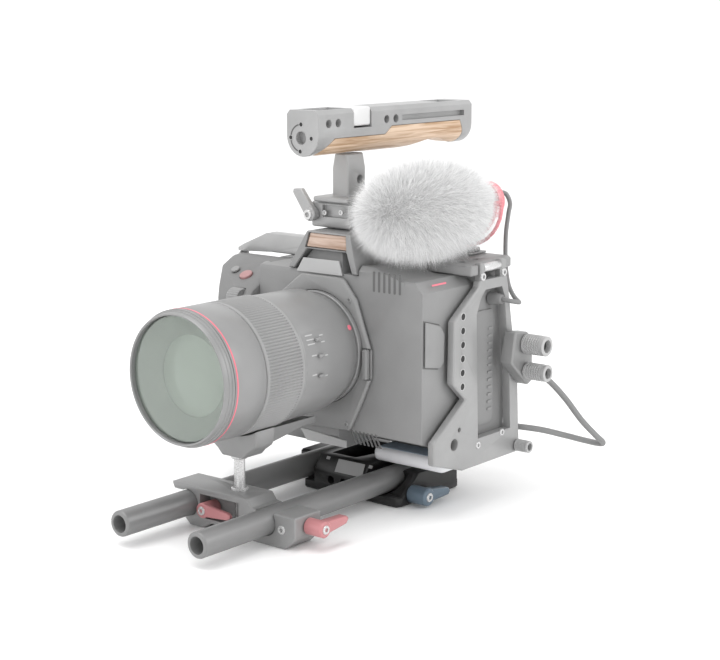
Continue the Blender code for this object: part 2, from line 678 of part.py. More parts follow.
def make_screen():
    """The tilting screen on the back. It turns about its top edge."""
    low_z, high_z = BODY_BOTTOM + 0.012, BODY_TOP - 0.010
    near = BODY_REAR + GAP
    screen = box("lcd_screen", (-0.060, near, low_z), (0.062, near + 0.0075, high_z), moulded(0.1),
                 pivot=(0, near + 0.0037, high_z - 0.0022))
    soften(screen, 0.0012, 1)


FLAP_Z = 0.1040
FLAP_HINGE = -0.0395


def make_side_flap():
    """The rubbery flap over the sockets on the left side. It turns about its front edge."""
    outline = [(FLAP_HINGE, FLAP_Z - 0.0115), (-0.0260, FLAP_Z - 0.0140), (-0.0220, FLAP_Z - 0.0110),
               (-0.0215, FLAP_Z + 0.0060), (-0.0255, FLAP_Z + 0.0110), (FLAP_HINGE, FLAP_Z + 0.0150)]
    flap = slab("side_cover", outline, BODY_RIGHT + GAP, BODY_RIGHT + 0.0018, "X", moulded(0.24),
                pivot=(BODY_RIGHT + 0.0010, FLAP_HINGE, FLAP_Z))
    soften(flap, 0.0005)


# ---------------------------------------------------------------- lens

SEAM_REAR = -0.0995  # rear barrel to focus ring
SEAM_FRONT = -0.1315  # focus ring to front barrel
LENS_SIDES = 48


def make_lens():
    """Nested barrels on one axis. Distances along each profile run forward from the mount."""
    where, ahead = (0, 0, LENS_Z), (0, -1, 0)
    r, wall = LENS_RADIUS, LENS_WALL
    mount, rear, seam, front = -MOUNT_FACE + GAP, -SEAM_REAR, -SEAM_FRONT, -LENS_FRONT
    turned("lens_rear_barrel", [
        (mount, MOUNT_BORE - 0.0006), (mount, 0.0330), (mount + 0.0040, 0.0340),
        (mount + 0.0120, r - 0.0016),
        (rear - 0.0010, r - 0.0008), (rear, r - 0.0012), (rear, r - 0.0040), (seam + 0.0100, r - 0.0040),
        (seam + 0.0100, r - 0.0040 - wall), (mount + 0.0100, r - 0.0040 - wall),
        (mount + 0.0060, MOUNT_BORE - 0.0006)],
        where, ahead, moulded(0.28), LENS_SIDES)
    turned("focus_ring", [
        (rear + GAP, r - 0.0040 + GAP), (rear + GAP, r - 0.0006), (rear + 0.0012, r), (seam - 0.0012, r),
        (seam - GAP, r - 0.0006), (seam - GAP, r - 0.0040 + GAP)],
        where, ahead, moulded(0.24), LENS_SIDES)
    turned("lens_front_barrel", [
        (seam, r - 0.0036), (seam, r - 0.0004), (seam + 0.0008, r), (front - 0.0066, r),
        (front - 0.0066, r - 0.0036)],
        where, ahead, moulded(0.28), LENS_SIDES)
    turned("lens_bezel", [
        (front - 0.0063, r - 0.0054), (front - 0.0063, r), (front - 0.0012, r - 0.0002), (front, r - 0.0014),
        (front, r - 0.0024), (front - 0.0030, r - 0.0036), (front - 0.0055, r - 0.0074)],
        where, ahead, moulded(0.2), LENS_SIDES)
    glass_front = front - 0.0068
    turned("front_element", [
        (glass_front - 0.0045, 0), (glass_front - 0.0045, r - 0.0048), (glass_front - 0.0012, r - 0.0048),
        (glass_front + 0.0004, r - 0.0144), (glass_front + 0.0012, 0.0120), (glass_front + 0.0015, 0)],
        where, ahead, glass(), 32)
    turned("rear_glass_group", [
        (mount + 0.0200, 0), (mount + 0.0200, r - 0.0134), (mount + 0.0260, r - 0.0076), (mount + 0.0420, r - 0.0076),
        (mount + 0.0450, 0.0160), (mount + 0.0460, 0)],
        where, ahead, glass(), 24)


SWITCH_ANGLES = (23, 9, -8)


def make_lens_switches():
    """Three sliding switches in a column on the rear barrel's left side."""
    for i, angle in enumerate(SWITCH_ANGLES):
        turn = math.radians(angle)
        out = Vector((math.cos(turn), 0, math.sin(turn)))
        middle = Vector((0, -0.0860, LENS_Z)) + out * (LENS_RADIUS - 0.0002)
        start, end = middle + Vector((0, -0.0022, 0)), middle + Vector((0, 0.0022, 0))
        switch = cylinder(f"lens_switch_{i + 1}", start + out * 0.0006, end + out * 0.0006, 0.0010,
                          moulded(0.45), 12)
        soften(switch, 0.0003, angle=60)


# ---------------------------------------------------------------- cage

CAGE_INNER = BODY_RIGHT + 0.0022
CAGE_OUTER = CAGE_INNER + 0.0052
DECK_THICKNESS = 0.0060
DECK_FRONT = -0.0035
DECK_REAR = 0.0490


def make_cage_bottom():
    front, rear, left = UNDERCUT_REAR + 0.0015, 0.0400, CAGE_INNER - GAP
    plan = [(-0.0500, front), (left, front), (left, rear), (-0.0500, rear)]
    plate = slab("cage_bottom", plan, CAGE_BOTTOM, CAGE_BOTTOM + CAGE_FLOOR, "Z", anodised(0.30))
    soften(plate, 0.0008)
    cut(plate, box("bottom_vent_opening", (-0.030, 0.012, 0), (0.034, 0.036, 0.1)))


def make_side_frame():
    """The left side frame: a foot, a front column, a leaning rear column and a window between them."""
    low = CAGE_BOTTOM - 0.0049
    top = BODY_TOP - 0.0030
    outline = [(-0.0385, BODY_BOTTOM + 0.0010), (-0.0100, low), (0.0500, low), (0.0485, 0.0450),
               (0.0470, 0.0700), (0.0400, top - 0.0320), (0.0345, top - 0.0040), (0.0335, top), (0.0050, top),
               (0.0040, top - 0.0040), (-0.0200, top - 0.0210), (-0.0205, top - 0.0580),
               (-0.0080, top - 0.0690), (-0.0385, 0.0480)]
    frame = slab("cage_side_frame", outline, CAGE_INNER, CAGE_OUTER, "X", anodised(0.31))
    soften(frame, 0.0008)
    window = [(0.0050, 0.0430), (0.0390, 0.0430), (0.0375, 0.0720), (0.0335, top - 0.0320),
              (0.0308, top - 0.0120), (0.0280, top - 0.0060), (0.0110, top - 0.0060), (0.0060, top - 0.0110),
              (0.0020, top - 0.0200)]
    cut(frame, slab("side_window", window, 0.05, 0.12, "X"))
    for i in range(6):
        z = top - 0.0605 + 0.0083 * i
        cut(frame, cylinder(f"column_hole_{i}", (0.05, -0.0115, z), (0.12, -0.0115, z), 0.0015, sides=14))
    for i, (y, z, radius) in enumerate(((-0.0190, 0.0440, 0.0036), (-0.0140, 0.0520, 0.0015))):
        cut(frame, cylinder(f"foot_hole_{i}", (0.05, y, z), (0.12, y, z), radius, sides=18))
    add_strap_bar(frame)


BAR_RADIUS = 0.0024  # of the strap bar


def add_strap_bar(frame):
    """A round bar between two ears at the top of the side frame, where a strap goes."""
    z = BODY_TOP + 0.0037
    x = (CAGE_INNER + CAGE_OUTER) / 2
    reach = BAR_RADIUS + 0.0010
    for i, (front, rear) in enumerate(((0.0060, 0.0105), (0.0270, 0.0325))):
        ear = box(f"strap_ear_{i}", (x - 0.0024, front, z - 0.0085), (x + 0.0024, rear, z + reach))
        join(frame, soften(ear, 0.0008))
    join(frame, cylinder("strap_bar", (x, 0.0100, z), (x, 0.0275, z), BAR_RADIUS, sides=16))


ARCH_TOP = HUMP_TOP + GAP + 0.0108
ARCH_REAR = 0.0320
BADGE_DEPTH = 0.0031  # from the body's front to the floor of the badge's recess


def badge_outline(room=0.0):
    """The badge from the front, anticlockwise, or the recess around it."""
    low, high = HUMP_TOP + 0.0014 - room, ARCH_TOP - 0.0012 + room
    return [(-0.0118 - room, low), (0.0196 + room, low), (0.0192 + room, high), (-0.0088 - room, high)]


def make_cage_top():
    """A plate over the right deck and an arch over the hump, in one piece."""
    plan = [(0.0245, DECK_FRONT), (CAGE_OUTER, DECK_FRONT), (CAGE_OUTER, 0.0035),
            (CAGE_INNER - GAP, 0.0035),
            (CAGE_INNER - GAP, DECK_REAR - 0.004), (CAGE_INNER - 0.004, DECK_REAR), (0.0300, DECK_REAR),
            (0.0300, ARCH_REAR), (0.0245, ARCH_REAR)]
    plate = slab("cage_top_plate", plan, DECK, DECK + DECK_THICKNESS, "Z", anodised(0.30))
    soften(plate, 0.0008)
    legs = DECK + 0.0002
    arch = [(-0.0255, legs), (-0.0208, legs), (-0.0106, HUMP_TOP + GAP), (0.0195, HUMP_TOP + GAP),
            (0.0238, legs), (0.0278, legs), (0.0228, ARCH_TOP), (-0.0105, ARCH_TOP)]
    join(plate, soften(slab("cage_arch", arch, BODY_FRONT - 0.0010, ARCH_REAR - 0.0005, "Y"), 0.0006))
    face = BODY_FRONT + BADGE_DEPTH
    cut(plate, slab("badge_room", badge_outline(GAP), BODY_FRONT - 0.01, face, "Y"))
    for i, x in enumerate((0.034, 0.046, 0.066)):
        for j, y in enumerate((0.008, 0.022)):
            cut(plate, cylinder(f"deck_hole_{i}{j}", (x, y, 0.1), (x, y, 0.2), 0.0026, sides=16))


def make_badge():
    """A plain wooden plate let into the front of the arch."""
    face = BODY_FRONT + BADGE_DEPTH - GAP
    badge = slab("wooden_badge", badge_outline(), face - 0.0030, face, "Y", wood())
    soften(badge, 0.0006)


BAR_END = -0.0270


def make_top_bar():
    """The bar that runs behind the grip's controls, turns forward and ends in a guard beside the grip."""
    low, high = DECK, DECK + 0.0128
    bar = box("cage_top_bar", (-0.0765, -0.0020, low), (BAR_END, 0.0045, high), anodised(0.33))
    soften(bar, 0.0008)
    plan = [(-0.0730, -0.0015), (-0.0925, -0.0090), (-0.0975, -0.0090), (-0.0975, -0.0020),
            (-0.0945, -0.0020), (-0.0780, 0.0040), (-0.0730, 0.0040)]
    turn = slab("bar_turn", plan, low + 0.0002, high - 0.0005, "Z")
    slope = [(-0.0770, high), (-0.1100, high - 0.0170), (-0.1100, high + 0.0200), (-0.0770, high + 0.0200)]
    join(bar, cut(turn, slab("bar_slope", slope, -0.05, 0.05, "Y")))
    guard = [(-0.0005, low + 0.0009), (-0.0060, low + 0.0009), (-0.0245, low - 0.0143), (-0.0258, low - 0.0198),
             (-0.0235, low - 0.0283), (-0.0195, low - 0.0283), (-0.0170, low - 0.0183), (-0.0100, low - 0.0113),
             (-0.0005, low - 0.0068)]
    join(bar, soften(slab("guard_plate", guard, BODY_LEFT - 0.0025, BODY_LEFT - GAP - 0.0002, "X"), 0.0005))
    cut(bar, bore_y("bar_hole", -0.0400, (low + high) / 2, 0.0016, -0.1, 0.1, 16))
    lug = low - 0.0035
    cut(bar, cylinder("lug_hole", (-0.2, -0.0065, lug), (-0.09, -0.0065, lug), 0.0015, sides=16))


def rail_outline(play=0.0):
    """The wedge rail from the side, anticlockwise, or the room around it in the clamp."""
    low = ARCH_TOP + GAP
    foot = low - 0.0100 * (play > 0)
    waist, widest, shoulder, top = low + 0.0014, low + 0.0030, low + 0.0042 + play, low + 0.0056 + play
    return [(-0.0220 - play, foot), (-0.0040 + play, foot), (-0.0040 + play, waist),
            (-0.0022 + play, widest),
            (-0.0022 + play, shoulder), (-0.0050, top), (-0.0210, top), (-0.0238 - play, shoulder),
            (-0.0238 - play, widest), (-0.0220 - play, waist)]


def make_rail():
    """The wedge rail on the arch. It runs along X, so the handle slides sideways on it."""
    rail = slab("wedge_rail", rail_outline(), -0.0160, 0.0180, "X", anodised(0.28))
    soften(rail, 0.0002)


# ---------------------------------------------------------------- top handle

CLAMP_FRONT = -0.0300
CLAMP_REAR = 0.0040
CLAMP_TOP = ARCH_TOP + 0.0162
HANDLE_BOTTOM = CLAMP_TOP + HANDLE_RISE
HANDLE_TOP = HANDLE_BOTTOM + HANDLE_HEIGHT
HEAD_TOP = CLAMP_TOP + 0.0034


def make_rail_clamp():
    """The clamp that grips the wedge rail, with a recess for its screws in front."""
    low = ARCH_TOP + GAP
    clamp = box("handle_clamp", (-0.0175, CLAMP_FRONT, low + 0.0006), (0.0130, CLAMP_REAR, CLAMP_TOP),
                anodised(0.31))
    soften(clamp, 0.0010)
    cut(clamp, slab("rail_room", rail_outline(0.0004), -0.05, 0.05, "X"))
    cut(clamp, box("screw_recess", (-0.0085, CLAMP_FRONT - 0.001, low + 0.0070),
                   (0.0110, CLAMP_FRONT + 0.0028, CLAMP_TOP - 0.0018)))


def make_clamp_lever():
    """The flat lever on the clamp's screw. It turns about Y."""
    x, z = -0.0145, CLAMP_TOP - 0.0075
    front = CLAMP_FRONT - GAP
    lever = cylinder("clamp_lever", (x, front, z), (x, front - 0.0050, z), 0.0042, anodised(0.36), 24)
    soften(lever, 0.0005, angle=60)
    arm = [(x - 0.0034, z - 0.0020), (x + 0.0028, z + 0.0028), (-0.0215, CLAMP_TOP + 0.0075),
           (-0.0275, CLAMP_TOP + 0.0070), (-0.0280, CLAMP_TOP + 0.0050)]
    join(lever, soften(slab("clamp_lever_arm", arm, front - 0.0044, front - 0.0008, "Y"), 0.0005))


def make_handle_post():
    plate = box("handle_post", (-0.0135, CLAMP_FRONT - 0.0030, CLAMP_TOP + GAP),
                (0.0135, CLAMP_REAR, HEAD_TOP), anodised(0.35))
    soften(plate, 0.0008)
    neck = HANDLE_BOTTOM - 0.0090
    front_view = [(-0.0063, HEAD_TOP - 0.001), (0.0063, HEAD_TOP - 0.001), (0.0063, neck),
                  (0.0045, HANDLE_BOTTOM - GAP),
                  (-0.0045, HANDLE_BOTTOM - GAP), (-0.0063, neck)]
    post = slab("post_stem", front_view, -0.0235, -0.0070, "Y")
    soften(post, 0.0008)
    hole = CLAMP_TOP + 0.0130
    cut(post, cylinder("post_hole", (-0.1, -0.0125, hole), (0.1, -0.0125, hole), 0.0027, sides=20))
    join(plate, post)


WOOD_TOP_FRONT = HANDLE_BOTTOM + 0.0100
WOOD_TOP_REAR = HANDLE_BOTTOM + 0.0147


WOOD_START = -0.0530
WOOD_STOP = 0.0850


def wood_seat(room):
    """The upper edge of the wooden grip from rear to front, or of the room that the metal leaves for it."""
    low = HANDLE_BOTTOM + 0.0012 - room
    return [(WOOD_STOP + room, low), (WOOD_STOP + room, WOOD_TOP_REAR - 0.0080),
            (WOOD_STOP - 0.0040, WOOD_TOP_REAR + room),
            (0.0110, WOOD_TOP_REAR + room), (0.0050 - room, WOOD_TOP_FRONT + room),
            (WOOD_START + 0.0110 - 2 * room, WOOD_TOP_FRONT + room), (WOOD_START - 2 * room, low)]


def wood_outline():
    """The wooden grip from the side, anticlockwise: a wavy underside with a hollow for each finger."""
    count = 22
    under = []
    first, last = WOOD_START + 0.006, WOOD_STOP - 0.001
    for i in range(count + 1):
        y = first + (last - first) * i / count
        rise = 0.0048 * math.exp(-(((y - 0.057) / 0.017) ** 2))
        rise += 0.0009 * math.exp(-(((y + 0.018) / 0.010) ** 2))
        under.append((y, HANDLE_BOTTOM + rise))
    return [*under, *wood_seat(0)]


def make_handle():
    """The metal handle body, and the wooden grip let into its underside."""
    half = HANDLE_WIDTH / 2
    section = [*arc((0, HANDLE_BOTTOM + half), half, 180, 360, 17), (half, HANDLE_TOP - 0.0025),
               (half - 0.0022, HANDLE_TOP), (-half + 0.0022, HANDLE_TOP), (-half, HANDLE_TOP - 0.0025)]
    body = slab("handle_body", section, HANDLE_FRONT, HANDLE_REAR, "Y", anodised(0.36))
    soften(body, 0.0008, angle=60)
    wooden = slab("handle_wood_grip", section, HANDLE_FRONT, HANDLE_REAR, "Y", wood())
    combine(wooden, slab("wood_side", wood_outline(), -0.05, 0.05, "X"), "INTERSECT")
    room = wood_seat(GAP)
    below = HANDLE_BOTTOM - 0.010
    cut(body, slab("wood_room", [*room, (room[-1][0], below), (room[0][0], below)], -0.05, 0.05, "X"))
    cut(body, box("top_channel", (-0.0080, HANDLE_FRONT + 0.0050, HANDLE_TOP - 0.0050),
                  (0.0080, -0.0260, 0.3)))
    cut(body, box("trigger_well", (-0.0085, -0.0252, HANDLE_TOP - 0.0115), (0.05, -0.0085, 0.3)))
    cut(body, box("rear_notch", (-0.0080, 0.0640, HANDLE_TOP - 0.0040), (0.0080, 0.0840, 0.3)))
    cut(body, bore_y("front_bore", -0.0010, HANDLE_BOTTOM + 0.0108, 0.0039, -0.1, HANDLE_FRONT + 0.0040, 28))
    for i, y in enumerate((-0.0480, -0.0394, 0.0060, 0.0150)):
        cut(body, cylinder(f"handle_hole_{i}", (-0.05, y, HANDLE_TOP - 0.0078), (0.05, y, HANDLE_TOP - 0.0078),
                           0.0025, sides=18))
    cut(body, box("side_slot", (half - 0.0030, 0.0211, HANDLE_TOP - 0.0092), (0.05, 0.0855, HANDLE_TOP - 0.0058)))
    button = box("handle_button", (-0.0082, -0.0249, HANDLE_TOP - 0.0106),
                 (half - 0.0005, -0.0088, HANDLE_TOP + 0.0006), steel())
    soften(button, 0.0012, 2)


# ---------------------------------------------------------------- cable clamp and microphone

KNOB_START = CAGE_OUTER + 0.0095
UPPER_KNOB = (0.0400, 0.0965)  # Y and Z of the upper knob's axis
LOWER_KNOB = (0.0415, 0.0797)


def make_cable_clamp():
    """A bracket on the side frame's rear column, with two knurled knobs and a thumb screw below."""
    outline = [(0.0255, 0.0860), (0.0440, 0.0700), (0.0490, 0.0720), (0.0490, 0.0880), (0.0440, 0.1030),
               (0.0300, 0.1050)]
    clamp = slab("cable_clamp", outline, CAGE_OUTER + GAP, KNOB_START - GAP, "X", anodised(0.28))
    soften(clamp, 0.0010)
    for name, (y, z), radius in (("knob_upper", UPPER_KNOB, 0.0062), ("knob_lower", LOWER_KNOB, 0.0053)):
        end = KNOB_START + 0.0155
        knob = cylinder(name, (KNOB_START, y, z), (end, y, z), radius, anodised(0.42), 30)
        soften(knob, 0.0006, angle=60)
        cut(knob, cylinder(name + "_hollow", (end - 0.0060, y, z), (end + 0.01, y, z), radius - 0.0012,
                           sides=24))
    y, z = 0.0460, 0.0310
    screw = cylinder("bottom_thumb_screw", (CAGE_OUTER + GAP, y, z), (CAGE_OUTER + 0.0100, y, z), 0.0038,
                     anodised(0.4), 24)
    soften(screw, 0.0006, angle=60)


MIC_X = 0.0480
MIC_Z = DECK + 0.0125 + FUR_RADIUS
MIC_MIDDLE = 0.0005
MIC_END = 0.0670
CLIP_FRONT = MIC_MIDDLE + FUR_HALF + 0.0035  # the suspension's ring on the microphone
CLIP_REAR = CLIP_FRONT + 0.0060
SHOE_Y = 0.0400
SHOE_TOP = DECK + DECK_THICKNESS + 0.0038


def make_microphone():
    """A tube microphone in a windscreen, held by a red suspension on a shoe."""
    screen = ellipsoid("mic_windscreen", (MIC_X, MIC_MIDDLE, MIC_Z), (FUR_RADIUS, FUR_HALF, FUR_RADIUS),
                       finish_of("fur", (0.72, 0.72, 0.72), 0.9, 0.0), 24, 14)
    cut(screen, bore_y("windscreen_bore", MIC_X, MIC_Z, MIC_RADIUS + GAP, MIC_MIDDLE - FUR_HALF + 0.018,
                       0.1, 28))
    body = bore_y("mic_body", MIC_X, MIC_Z, MIC_RADIUS, MIC_MIDDLE - FUR_HALF + 0.0184, MIC_END, 28)
    body.data.materials.append(anodised(0.3))
    soften(body, 0.0012, angle=60)


def make_suspension():
    """Two springy red arcs that stand on the shoe. Arms join their tips to a ring on the microphone."""
    wire, outer, inner = 0.0024, 0.0250, 0.0205
    red = finish_of("red_plastic", (0.72, 0.22, 0.24), 0.45, 0.0)
    ring = bore_y("mic_suspension", MIC_X, MIC_Z, MIC_RADIUS + 0.0025, CLIP_FRONT, CLIP_REAR, 32)
    ring.data.materials.append(red)
    cut(ring, bore_y("suspension_bore", MIC_X, MIC_Z, MIC_RADIUS + GAP, 0, 0.2, 32))
    for name, radius in (("outer", outer), ("inner", inner)):
        route = [(MIC_X + u, SHOE_Y, MIC_Z + v) for u, v in arc((0, 0), radius, -186, 6, 17)]
        join(ring, tube(f"suspension_{name}_arc", route, wire, red))
    for side in (-1, 1):
        tip = Vector((MIC_X + side * outer, SHOE_Y, MIC_Z + 0.0015))
        root = Vector((MIC_X + side * (MIC_RADIUS + 0.0012), (CLIP_FRONT + CLIP_REAR) / 2, MIC_Z))
        join(ring, cylinder("suspension_arm", tip, root, 0.0015, sides=12))
        bridge = Vector((MIC_X + side * inner, SHOE_Y, MIC_Z + 0.0015))
        join(ring, cylinder("suspension_bridge", tip, bridge, 0.0015, sides=12))
    top = MIC_Z - inner
    join(ring, cylinder("suspension_foot", (MIC_X, SHOE_Y, top), (MIC_X, SHOE_Y, SHOE_TOP + GAP), 0.0024,
                        sides=16))


def make_shoe():
    """The shoe on the cage's top plate, its stem and the knob that turns on the stem."""
    low = DECK + DECK_THICKNESS + GAP
    base = low + 0.0012
    shoe = box("shoe_mount", (MIC_X - 0.0085, SHOE_Y - 0.0085, low),
               (MIC_X + 0.0085, SHOE_Y + 0.0085, base),
               anodised(0.26))
    soften(shoe, 0.0003)
    join(shoe, cylinder("shoe_stem", (MIC_X, SHOE_Y, low + 0.0006), (MIC_X, SHOE_Y, SHOE_TOP), 0.0030,
                        sides=20))
    knob = cylinder("shoe_knob", (MIC_X, SHOE_Y, base + GAP), (MIC_X, SHOE_Y, SHOE_TOP - 0.0002), 0.0080,
                    anodised(0.3), 28)
    soften(knob, 0.0004, angle=60)
    cut(knob, cylinder("shoe_knob_bore", (MIC_X, SHOE_Y, 0.1), (MIC_X, SHOE_Y, 0.2), 0.0030 + GAP,
                       sides=20))


# ---------------------------------------------------------------- cables

PLUG_END = 0.0845


def make_cables():
    """The microphone's cable to its socket, and the data cable from the clamp round to the back."""
    plug = cylinder("mic_plug", (BODY_RIGHT + 0.0005, SOCKET_Y, SOCKET_Z), (PLUG_END, SOCKET_Y, SOCKET_Z),
                    0.0042,
                    moulded(0.33), 20, end_radius=0.0028)
    soften(plug, 0.0004, angle=60)
    mic_route = [(0.0480, MIC_END + GAP, 0.1810), (0.0480, 0.0695, 0.1810), (0.0490, 0.0735, 0.1818),
                 (0.0515, 0.0765, 0.1805),
                 (0.0540, 0.0770, 0.1750), (0.0540, 0.0755, 0.1687), (0.0540, 0.0730, 0.1558),
                 (0.0560, 0.0703, 0.1384), (0.0640, 0.0612, 0.1288), (0.0720, 0.0525, 0.1252),
                 (0.0810, 0.0435, 0.1230), (0.0880, 0.0370, 0.1222), (0.0920, 0.0315, 0.1228),
                 (0.0905, 0.0270, 0.1238), (0.0875, 0.0256, 0.1243), (PLUG_END + GAP, SOCKET_Y, SOCKET_Z)]
    tube("mic_cable", mic_route, 0.0028, moulded(0.3))
    socket = box("data_plug", (0.0650, BODY_REAR + GAP, 0.0352), (0.0720, BODY_REAR + 0.0090, 0.0422),
                 moulded(0.28))
    soften(socket, 0.0008)
    data_route = [(KNOB_START - 0.0050, 0.0490 + GAP, 0.0760), (0.0870, 0.0540, 0.0757),
                  (0.0895, 0.0600, 0.0735),
                  (0.0940, 0.0660, 0.0680), (0.1000, 0.0740, 0.0570), (0.1060, 0.0830, 0.0430),
                  (0.1105, 0.0930, 0.0320), (0.1110, 0.1010, 0.0260), (0.1070, 0.1035, 0.0240),
                  (0.1010, 0.0960, 0.0265), (0.0940, 0.0840, 0.0310), (0.0860, 0.0700, 0.0360),
                  (0.0770, 0.0600, 0.0385), (0.0700, 0.0565, 0.0387), (0.0685, 0.0535, 0.0387),
                  (0.0685, 0.0510 + GAP, 0.0387)]
    tube("data_cable", data_route, 0.0038, moulded(0.32))


def main():
    start_scene()
    make_rods()
    make_base_plate()
    make_base_lever()
    make_quick_release_plate()
    make_support_clamp()
    make_support_levers()
    make_support_post()
    make_lens_cradle()
    make_housings()
    grip = make_grip()
    make_grip_controls(grip)
    make_mount()
    make_insides()
    make_screen()
    make_side_flap()
    make_lens()
    make_lens_switches()
    make_cage_bottom()
    make_side_frame()
    make_cage_top()
    make_badge()
    make_top_bar()
    make_rail()
    make_rail_clamp()
    make_clamp_lever()
    make_handle_post()
    make_handle()
    make_cable_clamp()
    make_microphone()
    make_suspension()
    make_shoe()
    make_cables()


main()
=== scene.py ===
import json
import math

import bmesh
import bpy
import numpy as np
from mathutils import Matrix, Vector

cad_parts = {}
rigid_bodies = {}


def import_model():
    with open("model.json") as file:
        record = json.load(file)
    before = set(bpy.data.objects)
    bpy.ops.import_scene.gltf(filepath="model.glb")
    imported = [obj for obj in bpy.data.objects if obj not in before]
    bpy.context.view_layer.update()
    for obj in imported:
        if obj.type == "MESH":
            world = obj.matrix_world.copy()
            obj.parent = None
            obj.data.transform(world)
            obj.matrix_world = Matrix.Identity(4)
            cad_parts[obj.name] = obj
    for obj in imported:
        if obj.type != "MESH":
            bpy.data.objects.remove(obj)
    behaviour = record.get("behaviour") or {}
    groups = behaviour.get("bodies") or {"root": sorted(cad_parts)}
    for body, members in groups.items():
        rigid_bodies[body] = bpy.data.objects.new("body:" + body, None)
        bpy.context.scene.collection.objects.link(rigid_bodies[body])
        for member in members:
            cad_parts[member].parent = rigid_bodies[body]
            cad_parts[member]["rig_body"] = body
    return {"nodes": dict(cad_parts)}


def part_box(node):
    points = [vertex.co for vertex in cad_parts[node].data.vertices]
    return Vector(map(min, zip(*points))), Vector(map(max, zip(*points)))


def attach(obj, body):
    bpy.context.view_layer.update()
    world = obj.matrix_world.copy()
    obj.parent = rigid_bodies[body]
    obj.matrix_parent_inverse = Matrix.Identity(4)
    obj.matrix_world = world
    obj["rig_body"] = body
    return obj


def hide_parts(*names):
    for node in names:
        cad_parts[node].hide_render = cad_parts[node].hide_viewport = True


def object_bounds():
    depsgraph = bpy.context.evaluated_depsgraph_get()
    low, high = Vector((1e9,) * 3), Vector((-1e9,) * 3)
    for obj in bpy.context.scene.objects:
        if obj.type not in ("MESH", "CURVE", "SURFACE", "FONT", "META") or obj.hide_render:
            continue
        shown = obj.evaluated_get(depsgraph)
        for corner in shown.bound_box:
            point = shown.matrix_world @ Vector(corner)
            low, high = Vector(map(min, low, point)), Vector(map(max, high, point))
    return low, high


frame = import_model()
cad_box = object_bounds()

# ---------------------------------------------------------------- the view and the studio
# A long lens looks down a little on the rig from the front of its left side.
# The rig stands on a plain pale floor under a large soft light from above and two weaker ones from the sides.

TURN, DIP = math.radians(39.08), math.radians(10.93)
EYE = (0.63393, -0.78541, 0.29444)
rightward = (math.cos(TURN), math.sin(TURN), 0.0)
upward = (-math.sin(TURN) * math.sin(DIP), math.cos(TURN) * math.sin(DIP), math.cos(DIP))
backward = (math.sin(TURN) * math.cos(DIP), -math.cos(TURN) * math.cos(DIP), math.sin(DIP))
camera = bpy.data.objects.new("camera", bpy.data.cameras.new("camera"))
camera.data.sensor_width = 36.0
camera.data.lens = 83.35
camera.data.clip_start = 0.01
camera.matrix_world = Matrix([*zip(rightward, upward, backward, EYE), (0, 0, 0, 1)])
bpy.context.scene.collection.objects.link(camera)
bpy.context.scene.camera = camera
bpy.context.scene.view_settings.view_transform = "Standard"

world = bpy.data.worlds.new("studio")
world.use_nodes = True
world.node_tree.nodes["Background"].inputs["Color"].default_value = (1.0, 1.0, 1.0, 1.0)
world.node_tree.nodes["Background"].inputs["Strength"].default_value = 1.12
bpy.context.scene.world = world


def soft_light(name, place, aim, size, power):
    """A square area light at place, turned to face aim."""
    lamp = bpy.data.objects.new(name, bpy.data.lights.new(name, "AREA"))
    lamp.data.size = size
    lamp.data.energy = power
    away = np.array(place) - np.array(aim)
    away /= np.linalg.norm(away)
    side = np.cross((0.0, 1.0, 0.001), away)
    side /= np.linalg.norm(side)
    lamp.matrix_world = Matrix([*zip(side, np.cross(away, side), away, place), (0, 0, 0, 1)])
    bpy.context.scene.collection.objects.link(lamp)


middle = tuple((cad_box[0] + cad_box[1]) / 2)
soft_light("overhead", (-0.2, -0.3, 1.5), middle, 1.0, 9.0)
soft_light("left_side", (1.4, 0.3, 0.7), middle, 0.8, 5.0)
soft_light("front", (-0.5, -1.4, 0.5), middle, 1.0, 2.0)

floor_size = 30.0
corners = np.array([(-1, -1), (1, -1), (1, 1), (-1, 1)]) * floor_size / 2
floor_mesh = bpy.data.meshes.new("floor")
floor_mesh.from_pydata([(x, y, -0.0002) for x, y in corners], [], [(0, 1, 2, 3)])
floor = bpy.data.objects.new("floor", floor_mesh)
floor_paint = bpy.data.materials.new("pale_floor")
floor_paint.use_nodes = True
floor_paint.node_tree.nodes["Principled BSDF"].inputs["Base Color"].default_value = (0.97, 0.97, 0.97, 1)
floor_paint.node_tree.nodes["Principled BSDF"].inputs["Roughness"].default_value = 0.9
floor_mesh.materials.append(floor_paint)
bpy.context.scene.collection.objects.link(floor)

# ---------------------------------------------------------------- the two cables
# The microphone's thin cable hangs from its rear end and comes round to the sockets on the camera's left side.
# The thicker data cable loops out past the cable clamp and back under it. Both have a soft rubber jacket.


def smooth_route(points, step=0.0005):
    """Evenly spaced points on the cubics through the given ones, whose slope at each is half the way between
    its neighbours."""
    knots = np.array(points)
    row = np.vstack([2 * knots[0] - knots[1], knots, 2 * knots[-1] - knots[-2]])
    before, start, end, after = (row[i:len(row) - 3 + i, None, :] for i in range(4))
    t = np.linspace(0, 1, 40, endpoint=False)[None, :, None]
    curve = 0.5 * (2 * start + (end - before) * t + (2 * before - 5 * start + 4 * end - after) * t ** 2
                   + (3 * start - before - 3 * end + after) * t ** 3)
    fine = np.vstack([curve.reshape(-1, 3), knots[-1:]])
    along = np.concatenate([[0], np.cumsum(np.linalg.norm(np.diff(fine, axis=0), axis=1))])
    even = np.linspace(0, along[-1], int(along[-1] / step) + 1)
    return np.stack([np.interp(even, along, fine[:, axis]) for axis in range(3)], axis=1)


